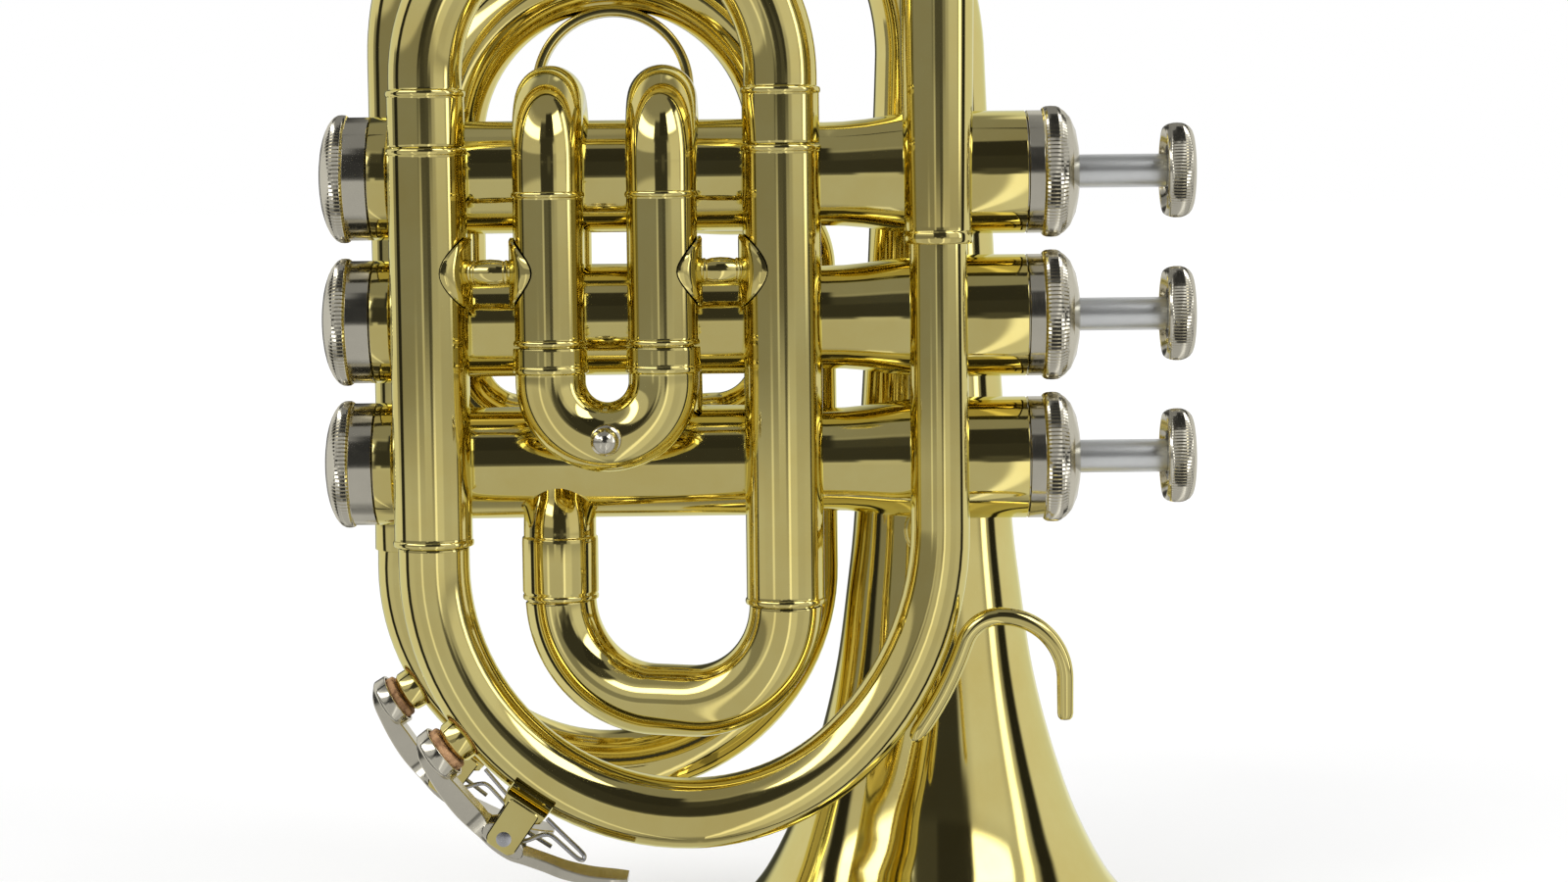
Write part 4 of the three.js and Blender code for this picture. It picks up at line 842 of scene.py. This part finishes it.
class TRUMPET_OT_valve_slides(bpy.types.Operator):
    """Builds the three valve slides with their tubes, crooks, knobs and finger ring"""
    bl_idname = "trumpet.valve_slides"
    bl_label = "Valve slides"

    def execute(self, context):
        first_slide()
        second_slide()
        third_slide()
        finger_ring()
        return {"FINISHED"}


# Bell and its branch

BRANCH_TUBE = 6.1
BRANCH_RIGHT_X, BRANCH_LEFT_X, BRANCH_BOW_Z = -24.1, -98.9, 72.1
BELL_TOP_X, BELL_TOP_Z, BELL_JOINT_Z = -97.5, 168, 84.9
LEAN = atan2(BELL_TOP_X - BRANCH_LEFT_X, BELL_TOP_Z - BRANCH_BOW_Z)
BRANCH_BOW_R = (BRANCH_RIGHT_X - BRANCH_LEFT_X) / (1 + cos(LEAN))


def branch_route():
    drop, elbow = -0.157, 12
    route = Route((HIGH_PORT, VALVE_Y, valve_z(1)), Vector((0, cos(drop), sin(drop))))
    route.line((BELL_Y - VALVE_Y) / cos(drop) - elbow)
    route.bend(RIGHT, elbow, pi / 2)
    route.bend(DOWN, BRANCH_RIGHT_X - HIGH_PORT - elbow, pi / 2)
    route.line(route.tip[0].z - BRANCH_BOW_Z)
    route.bend(LEFT, BRANCH_BOW_R, pi + LEAN)
    return route.line(BELL_JOINT_Z - route.tip[0].z)


def rear_key_place():
    centre = Vector((BRANCH_RIGHT_X - BRANCH_BOW_R, BELL_Y, BRANCH_BOW_Z))
    return KeyPlace(centre, BRANCH_BOW_R + BRANCH_TUBE, BRANCH_TUBE, 3.69)


def flared(points, steps=4):
    """Points of a smooth curve through the given ones, which run in falling height."""
    slopes = []
    for i in range(len(points)):
        (h0, r0), (h1, r1) = points[max(i - 1, 0)], points[min(i + 1, len(points) - 1)]
        slopes.append((r1 - r0) / (h1 - h0))
    out = []
    for (h0, r0), (h1, r1), slope, after in zip(points, points[1:], slopes, slopes[1:]):
        for t in [k / steps for k in range(steps)]:
            lift = (h1 - h0) * t * (1 - t) * ((1 - t) * slope - t * after)
            out.append((h0 + (h1 - h0) * t, r0 + (r1 - r0) * t * t * (3 - 2 * t) + lift))
    return [*out, points[-1]]


def bell(joint):
    heading = Vector((sin(LEAN), 0, cos(LEAN)))
    route = Route(joint + heading * SEAM, heading)
    route.line((BELL_TOP_Z - route.tip[0].z) / cos(LEAN))
    start = route.length
    route.bend(RIGHT, -route.tip[0].x / (1 + cos(LEAN)), pi - LEAN, 2.5)
    tail = route.length
    route.line(route.tip[0].z)
    rim = route.length
    bow_steps, sides = 40, 96
    shares = [i / bow_steps for i in range(bow_steps)]
    bow = [(start + (tail - start) * share, 7.5 + 2.7 * share) for share in shares]
    flare = [(rim - h, r) for h, r in flared([(BELL_TOP_Z, 10.2), *BELL_FLARE])]
    outer = [(0, BRANCH_TUBE), *bow, *flare, *[(rim - h, r) for h, r in BELL_EDGE]]
    inner = [(s, r - BELL_WALL)
             for s, r in [(0, BRANCH_TUBE), *bow, *flare, (rim - 1.2, 45.3)]]
    inner.append((rim, 45.05))
    bm = bmesh.new()
    rings = route_rings(bm, route, outer, sides)
    rings += reversed(route_rings(bm, route, inner, sides))
    bridge(bm, rings, loop=True)
    finish_piece("bell", bm, sharp=0.9)


class TRUMPET_OT_bell(bpy.types.Operator):
    """Builds the bell and the branch that feeds it"""
    bl_idname = "trumpet.bell"
    bl_label = "Bell"

    def execute(self, context):
        route = branch_route()
        end = route.length
        outer = [(8.8, 6.5), (9.6, 6.2), (10.4, BRANCH_TUBE), (end - 9, BRANCH_TUBE),
                 (end - 8.95, 6.6), (end - 1.2, 6.6), *bead(end - 1.1, 6.45, 0.15, 1)]
        bm = bmesh.new()
        pipe_into(bm, route, outer, [(8.8, 5.5), (end - 0.1, 5.5)])
        nipple_into(bm, rear_key_place())
        finish_piece("bell_branch", bm)
        bell(route.tip[0])
        return {"FINISHED"}


# Hook and braces

BRACE_Z, BELL_BRACE_Z = 129.1, 80


def flange_into(bm, foot, towards, tube_radius, radius, sheet=0.55):
    """A thin round plate wrapped on an upright tube; towards points away from the tube."""
    side = UP.cross(towards).normalized()
    shares = (0.02, 0.3, 0.55, 0.78, 0.93, 1)
    under = [(share, tube_radius + 0.05, 0) for share in shares]
    over = [(share, tube_radius + sheet, sheet * 0.4 * (share == 1)) for share in shares]
    rings = []
    for share, skin, drop in [*under, *reversed(over)]:
        ring = ring_at(bm, foot, side, UP, radius * share, 48)
        for vertex in ring:
            aside = (vertex.co - foot).dot(side)
            vertex.co += towards * (sqrt(max(skin ** 2 - aside ** 2, 0.01)) - drop)
        rings.append(ring)
    bridge(bm, rings, loop=True)


def rod_into(bm, start, axis, length):
    """A brace's turned rod, with a smooth barrel between two collars."""
    middle = length / 2
    half = [(0, 0), (0, 2.3), (0.5, 2), (1.2, 1.7), (middle - 3.4, 1.65), (middle - 3.2, 2.1),
            (middle - 2.7, 2.2), (middle - 2.5, 1.95), (middle - 1.6, 2.2)]
    outline = mirrored(half, length, [(middle, 2.32)])
    turn(bm, start, axis, rounded(outline, 0.1), 36, loop=False)


def finger_hook():
    reach = LEAD_SIDE_R + 5.62 + SEAM + 1.6
    angle = -0.655
    centre = Vector((LEAD_X - LEAD_SIDE_R, FRONT_Y, LEAD_BOW_Z + LEAD_EARLY_BEND))
    spoke = Vector((cos(angle), 0, sin(angle)))
    route = Route(centre + spoke * reach, Vector((-spoke.z, 0, spoke.x)))
    route.bend(LEFT, reach, 0.32).bend(RIGHT, 6.65, pi / 2 - 0.335)
    route.bend(DOWN, 11.1, pi / 2).line(7.2)
    end = route.length
    profile = [(0, 0.5), (0.4, 0.95), (1.2, 1.3), (2.4, 1.55), (4, 1.6), (end - 20, 1.55),
               (end - 1.2, 1.4), (end - 0.5, 1.25), (end - 0.12, 0.9), (end, 0.45)]
    bm = bmesh.new()
    loft(bm, route_rings(bm, route, profile, 28))
    finish_piece("finger_hook", bm)


def brace(node, foot, head, foot_flange, head_flange, start, shorter):
    """A rod between two upright tubes; a flange is its tube's radius and its own."""
    axis = (head - foot).normalized()
    bm = bmesh.new()
    flange_into(bm, foot, axis, *foot_flange)
    flange_into(bm, head, -axis, *head_flange)
    rod_into(bm, foot + axis * start, axis, (head - foot).length - shorter)
    finish_piece(node, bm)


class TRUMPET_OT_fittings(bpy.types.Operator):
    """Builds the finger hook and the braces"""
    bl_idname = "trumpet.fittings"
    bl_label = "Hook and braces"

    def execute(self, context):
        finger_hook()
        for node, leg_x, tube_x in (("brace_upper_tube", LOW_PORT, UPPER_TUBE_X),
                                    ("brace_lower_tube", HIGH_PORT, LOWER_TUBE_X)):
            brace(node, Vector((leg_x, FIRST_SLIDE_Y, BRACE_Z)), Vector((tube_x, FRONT_Y, BRACE_Z)),
                  (SLIDE_TUBE + 0.25, 6), (MAIN_TUBE + 0.25, 6.2), 6.3, 13.2)
        brace("bell_brace", Vector((LEAD_X, FRONT_Y, BELL_BRACE_Z)),
              Vector((LEAD_X, BELL_Y, BELL_BRACE_Z)), (5.35, 4.6), (15.3, 5), 5.4, 20.6)
        return {"FINISHED"}


# Water keys

# Lever: X, Z, thickness and half width from the cup to the tail
LEVER = [
    (-4.2, 5.9, 0.9, 1.6), (-1.5, 6.9, 2.1, 2.2), (2.5, 7.1, 3, 2.4), (6, 7.1, 3.6, 2.4),
    (9.5, 7, 3.8, 2.4), (12.6, 6.7, 3.6, 2.5), (15.2, 6.5, 2.6, 3.6), (18, 6.3, 2, 4),
    (21, 5.4, 1.9, 3.9), (23.4, 3.9, 1.9, 3.6), (26.4, 2, 1.9, 3.5), (29.6, 0, 1.8, 4),
    (32.8, -2.7, 1.5, 4.4), (35.6, -5.8, 1.2, 4.3), (37.2, -7.8, 1, 3.4),
]
LUG = [(14.2, 5.4), (16, 3), (18, 2.2), (20, 2.6), (22.2, 3.4), (22.4, 4.9), (19.2, 6.6),
       (15.4, 7)]
CUP = [(3.7, 4.4), (3.7, 4.9), (5.9, 4.9), (6.5, 4.4), (6.6, 0.6), (5, 0.6), (5, 4.4)]
CUP_LIP = [(4.95, 0), (4.95, 0.8), (6.6, 0.8), (6.6, 0)]
CORK_PAD = [(KEY_CORK_FOOT, 0), (KEY_CORK_FOOT, 4.1), (KEY_CORK_TOP, 4.1), (KEY_CORK_TOP, 0)]
PIN = [(-5.7, 0), (-5.7, 0.9), (5.15, 0.9), (5.15, 1.6), (5.5, 1.7), (5.7, 1.2), (5.7, 0)]


def spline(points, steps=5, ring=False):
    """A smooth line through points, which may carry extra values or close on themselves."""
    count = len(points)
    out = []
    for i in range(count if ring else count - 1):
        near = range(i - 1, i + 3)
        four = [points[j % count if ring else min(max(j, 0), count - 1)] for j in near]
        for t in [k / steps for k in range(steps)]:
            out.append(tuple(0.5 * (2 * b + (c - a) * t + (2 * a - 5 * b + 4 * c - d) * t * t
                                    + (3 * b - a - 3 * c + d) * t ** 3)
                             for a, b, c, d in zip(*four)))
    return out if ring else [*out, points[-1]]


def plate_into(bm, outline, low, high, matrix, edge=0.25):
    """A plate cut to an outline in X and Z, between two Y values, with softened edges."""
    points = [Vector(p) for p in outline]
    middle = sum(points, Vector((0, 0))) / len(points)
    rings = []
    for y, inset in ((low, edge), (low + edge, 0), (high - edge, 0), (high, edge)):
        ring = []
        for i, p in enumerate(points):
            tangent = (points[(i + 1) % len(points)] - points[i - 1]).normalized()
            inward = Vector((-tangent.y, tangent.x))
            if inward.dot(middle - p) < 0:
                inward = -inward
            q = p + inward * inset
            ring.append(bm.verts.new(matrix @ Vector((q.x, y, q.y))))
        rings.append(ring)
    loft(bm, rings)


def turn_in(bm, matrix, axis, outline, sides, loop=False):
    """Turns an outline in a key's own frame."""
    before = len(bm.verts)
    turn(bm, Vector(), axis, outline, sides, loop)
    bm.verts.ensure_lookup_table()
    bmesh.ops.transform(bm, matrix=matrix, verts=bm.verts[before:])


def strip_into(bm, matrix, line):
    """A sheet-metal strip along points of X, Z, thickness and half width."""
    rings = []
    for i, (x, z, thickness, half) in enumerate(line):
        a, b = line[max(i - 1, 0)], line[min(i + 1, len(line) - 1)]
        along = Vector((b[0] - a[0], b[1] - a[1])).normalized()
        up, edge = thickness / 2, min(0.22, thickness / 3)
        side = mirrored([(up, half - edge), (up - edge, half)], 0)
        section = [*side, *[(lift, -y) for lift, y in reversed(side)]]
        rings.append([
            bm.verts.new(matrix @ Vector((x - along.y * lift, y, z + along.x * lift)))
            for lift, y in section])
    loft(bm, rings)


def build_lever(name, key):
    bm = bmesh.new()
    strip_into(bm, key.matrix, spline(LEVER))
    for low, high in ((-KEY_HUB_END, -2.9), (2.9, KEY_HUB_END)):
        plate_into(bm, spline(LUG, 4, ring=True), low, high, key.matrix, 0.15)
    turn_in(bm, key.matrix, UP, closed(CUP, 0.25), 48, loop=True)
    turn_in(bm, key.matrix, UP, CUP_LIP, 24)
    finish_piece(f"water_key_{name}_lever", bm, nickel(), sharp=0.7)


def build_saddle(name, key):
    """The foot wrapped on the tube and the two posts that hold the pin."""
    pin = key.matrix @ KEY_PIN
    spoke = (pin - key.centre).normalized()
    matrix = key_frame(Vector((-spoke.z, 0, spoke.x)), spoke, key.centre)
    base, height = key.surface, (pin - key.centre).length
    bm = bmesh.new()
    post = mirrored([(3, base + 0.4), (2.9, height + 1.2), (2.1, height + 2.1)], 0)
    for low, high in ((-5.65, -4.3), (4.3, 5.65)):
        plate_into(bm, closed(post, 0.8, 5), low, high, matrix, 0.2)
    angles = [radians(a) for a in range(-56, 57, 8)]
    rings = []
    for x, sheet in ((-4.1, 0.65), (-3.9, 0.9), (-3, 0.9), (3, 0.9), (3.9, 0.9), (4.1, 0.65)):
        arc = [*[(sheet, a) for a in angles], *[(0.12, a) for a in reversed(angles)]]
        ring = []
        for lift, a in arc:
            y, z = (key.tube + lift) * sin(a), (key.tube + lift) * cos(a)
            ring.append(bm.verts.new(matrix @ Vector((x, y, base - key.tube + z))))
        rings.append(ring)
    loft(bm, rings)
    block = mirrored([(4, base - 0.2), (3.8, base + 1.6), (3, base + 2.2)], 0)
    plate_into(bm, block, -5.2, 5.2, matrix, 0.4)
    finish_piece(f"water_key_{name}_saddle", bm, sharp=0.7)


def build_key_spring(name, key):
    """The curled return spring: one leg stays on the tube, the other follows the lever."""
    radius, wire, pitch, turns, begin = 1.75, 0.4, 1.3, 21 / 8, pi + 0.346
    steps = 60
    coil = []
    for i in range(steps + 1):
        angle = begin + 2 * pi * turns * i / steps
        coil.append(KEY_PIN + Vector((
            radius * sin(angle), turns * pitch * (i / steps - 0.5), radius * cos(angle))))
    leaving = Vector((cos(begin), 0, -sin(begin)))
    leg = [coil[0] - leaving * length for length in (8, 6, 4, 2, 0.8)]
    loop = [(coil[-1].x, coil[-1].z, coil[-1].y), (21, 1.9, 1.85), (21.8, -0.6, 2),
            (22.8, -2, 2.1), (25.5, -2.6, 2.1), (28.4, -3.1, 2.1), (29.6, -3.6, 2),
            (29.4, -4.3, 1.75), (28.2, -4.3, 1.5), (25.5, -3.9, 1.4), (22.6, -3.5, 1.4),
            (20.2, -3.2, 1.4)]
    points = [*leg, *coil, *[Vector((x, y, z)) for x, z, y in spline(loop, 6)[1:]]]
    bm = bmesh.new()
    rings = []
    for i, p in enumerate(points):
        heading = (points[min(i + 1, len(points) - 1)] - points[max(i - 1, 0)]).normalized()
        side = square_to(heading, BACK)
        rings.append(ring_at(bm, p, side, heading.cross(side), wire, 10))
    loft(bm, rings)
    bmesh.ops.transform(bm, matrix=key.matrix, verts=bm.verts)
    piece = finish_piece(f"water_key_{name}_spring", bm, steel(), ride=False)
    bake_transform(piece)


class TRUMPET_OT_water_keys(bpy.types.Operator):
    """Builds both water keys: lever, cork, pin, saddle and spring"""
    bl_idname = "trumpet.water_keys"
    bl_label = "Water keys"

    def execute(self, context):
        for name, key in (("front", front_key_place()), ("rear", rear_key_place())):
            build_lever(name, key)
            build_saddle(name, key)
            build_key_spring(name, key)
            bm = bmesh.new()
            turn_in(bm, key.matrix, UP, rounded(CORK_PAD, 0.4, 4), 48)
            finish_piece(f"water_key_{name}_cork", bm, cork())
            bm = bmesh.new()
            turn_in(bm, key.matrix @ Matrix.Translation(KEY_PIN), BACK, PIN, 28)
            finish_piece(f"water_key_{name}_pin", bm, steel())
        return {"FINISHED"}


# Studio

CAMERA_PLACE = (-28, -589.9, 142)
CAMERA_PITCH = radians(85.5)
CAMERA_ROLL = radians(-0.64)

# What the metal mirrors: a pale tent, and its cards and gaps. Each has a level, the azimuth of
# its middle (0 faces the camera, 90 is the horn's right), its half width, the height of its
# middle above the horizon, its half height, and the width of its soft edge, all in degrees
STUDIO_LEVEL = 0.55
STUDIO_CARDS = [
    (0.74, 180, 84, 0, 45, 12), (0.27, 0, 181, 80, 32, 14), (0.5, 0, 62, -48, 42, 10),
    (0.26, 0, 181, -90, 14, 14), (0.25, -62, 47, 2.5, 7, 3), (0.4, 50, 40, 2.5, 7, 3),
    (0.12, 0, 9, 1, 4, 3), (0.06, 4, 25, 35, 13, 7), (0.04, 3, 21, 15, 14, 5),
    (0.03, 14, 15, 44, 15, 4), (0.68, 50, 16, 14, 14, 8), (0.08, 10, 5, 1, 6, 4),
    (0.68, 26, 12, -44, 40, 6), (1.2, 15, 3, -44, 40, 3), (0.95, -34, 3, -44, 40, 5),
    (2.4, 75, 4, 23, 24, 4), (0.05, 76, 12, 60, 12, 5), (3.2, 46, 16, 43, 12, 4),
    (3.2, -61, 39, 33, 7, 4), (0.9, 160, 7, 0, 60, 8), (0.06, -165, 12, 20, 30, 12),
    (0.02, 91, 7, 0, 100, 5), (0.02, -91, 7, 0, 100, 5),
]


def studio_world():
    """White for the camera; for reflections, a white tent with dark gaps at its sides."""
    world = bpy.data.worlds.new("Studio")
    bpy.context.scene.world = world
    world.use_nodes = True
    tree = world.node_tree
    tree.nodes.clear()

    def calc(operation, *values):
        return maths(tree, operation, *values)

    def within(distance, half, soft):
        """1 within the half width, falling to 0 over the soft edge."""
        return add_node(tree, "MapRange", {
            "Value": calc("ABSOLUTE", distance), "From Min": radians(half + soft / 2),
            "From Max": radians(half - soft / 2),
        }, interpolation_type="SMOOTHSTEP").outputs["Result"]

    place = add_node(tree, "TexCoord").outputs["Generated"]
    way = add_node(tree, "SeparateXYZ", {0: place}).outputs
    azimuth = calc("ARCTAN2", way["X"], calc("MULTIPLY", way["Y"], -1))
    height = calc("ARCSINE", way["Z"])
    total = STUDIO_LEVEL
    for level, centre, half, middle, reach, soft in STUDIO_CARDS:
        aside = calc("WRAP", calc("SUBTRACT", azimuth, radians(centre)), pi, -pi)
        raised = calc("SUBTRACT", height, radians(middle))
        mask = calc("MULTIPLY", within(aside, half, soft), within(raised, reach, soft))
        total = calc("MULTIPLY_ADD", mask, calc("SUBTRACT", level, total), total)
    ray = add_node(tree, "LightPath").outputs
    lit = calc("ADD", calc("MULTIPLY", total, ray["Is Glossy Ray"]),
               calc("MULTIPLY", ray["Is Diffuse Ray"], 0.75))
    seen = calc("ADD", ray["Is Camera Ray"], ray["Is Transmission Ray"])
    background = add_node(tree, "Background", {
        "Color": WHITE, "Strength": calc("ADD", lit, seen)})
    add_node(tree, "OutputWorld", {"Surface": background.outputs[0]})


def softbox(name, place, size, energy):
    """A large soft lamp that looks at the middle of the horn; its lengths are metres."""
    lamp = bpy.data.lights.new(name, "AREA")
    lamp.shape = "RECTANGLE"
    lamp.size, lamp.size_y = size
    lamp.energy = energy
    holder = place_object(name, lamp)
    middle = Vector((-0.03, -0.02, 0.11))
    holder.location = place
    holder.rotation_euler = (middle - Vector(place)).to_track_quat("-Z", "Y").to_euler()
    holder.visible_glossy = False


def floor_material():
    """Pale card that reads as white and keeps a soft shadow."""
    def fill(tree, shader):
        grain = noise(tree, {"Scale": 900})
        tone = add_node(tree, "MapRange", {"Value": grain, "To Min": 0.9, "To Max": 0.94})
        feed(tree, shader, {"Roughness": 0.9, "Base Color": tone.outputs["Result"]})
        place = add_node(tree, "TexCoord").outputs["Object"]
        distance = add_node(tree, "VectorMath", {0: place}, operation="LENGTH")
        spread = add_node(tree, "MapRange", {
            "Value": distance.outputs["Value"], "From Min": 0.4, "From Max": 1.6, "To Min": 0.2})
        ray = add_node(tree, "LightPath").outputs
        direct = maths(tree, "MAXIMUM", ray["Is Camera Ray"], ray["Is Glossy Ray"])
        share = maths(tree, "MULTIPLY", direct, spread.outputs["Result"])
        glow = add_node(tree, "Emission", {"Strength": 1.1})
        mix = add_node(tree, "MixShader", {"Fac": share, 1: shader.outputs[0], 2: glow.outputs[0]})
        feed(tree, tree.nodes["Material Output"], {"Surface": mix.outputs[0]})

    return shared_material("Floor card", fill)


def lay_floor():
    """A card of 60 metres, a hair under the bell's rim."""
    bm = bmesh.new()
    bmesh.ops.create_grid(bm, x_segments=4, y_segments=4, size=30)
    floor = place_object("floor", mesh_from("floor", bm))
    floor.data.materials.append(floor_material())
    floor.location.z = -0.4 * MM
    floor.visible_glossy = False


def place_camera():
    camera = bpy.data.cameras.new("camera")
    camera.lens, camera.sensor_width = 72, 36
    camera.clip_start = 10 * MM
    holder = place_object("camera", camera)
    holder.matrix_world = (Matrix.Translation(Vector(CAMERA_PLACE) * MM)
                           @ Matrix.Rotation(CAMERA_PITCH, 4, "X")
                           @ Matrix.Rotation(CAMERA_ROLL, 4, "Z"))
    bpy.context.scene.camera = holder


class TRUMPET_OT_stage(bpy.types.Operator):
    """Sets up the floor, lamps, world and camera"""
    bl_idname = "trumpet.stage"
    bl_label = "Stage"

    def execute(self, context):
        lay_floor()
        studio_world()
        softbox("key softbox", (-0.9, -1.1, 1.1), (0.7, 0.9), 9)
        softbox("fill softbox", (1.1, -0.9, 0.7), (0.5, 0.9), 6)
        softbox("rear softbox", (0.2, 1.2, 1.2), (1, 0.6), 7)
        place_camera()
        context.scene.view_settings.view_transform = "Standard"
        return {"FINISHED"}


class TRUMPET_PT_builder(bpy.types.Panel):
    bl_idname = "TRUMPET_PT_builder"
    bl_label = "Pocket trumpet"
    bl_space_type = "VIEW_3D"
    bl_region_type = "UI"
    bl_category = "Trumpet"

    def draw(self, context):
        column = self.layout.column()
        for group in (context.scene.trumpet_sizes, context.scene.trumpet_colours):
            for name in type(group).__annotations__:
                column.prop(group, name)
        for operator in OPERATORS:
            column.operator(operator.bl_idname)


OPERATORS = (TRUMPET_OT_stage, TRUMPET_OT_valves, TRUMPET_OT_main_tubing, TRUMPET_OT_valve_slides,
             TRUMPET_OT_bell, TRUMPET_OT_fittings, TRUMPET_OT_water_keys)
CLASSES = (TrumpetSizes, TrumpetColours, *OPERATORS, TRUMPET_PT_builder)


def register():
    for cls in CLASSES:
        bpy.utils.register_class(cls)
    bpy.types.Scene.trumpet_sizes = PointerProperty(type=TrumpetSizes)
    bpy.types.Scene.trumpet_colours = PointerProperty(type=TrumpetColours)


def unregister():
    del bpy.types.Scene.trumpet_colours
    del bpy.types.Scene.trumpet_sizes
    for cls in reversed(CLASSES):
        bpy.utils.unregister_class(cls)


def main():
    register()
    bpy.ops.trumpet.stage()
    bpy.ops.trumpet.valves()
    bpy.ops.trumpet.main_tubing()
    bpy.ops.trumpet.valve_slides()
    bpy.ops.trumpet.bell()
    bpy.ops.trumpet.fittings()
    bpy.ops.trumpet.water_keys()


if __name__ == "__main__":
    main()
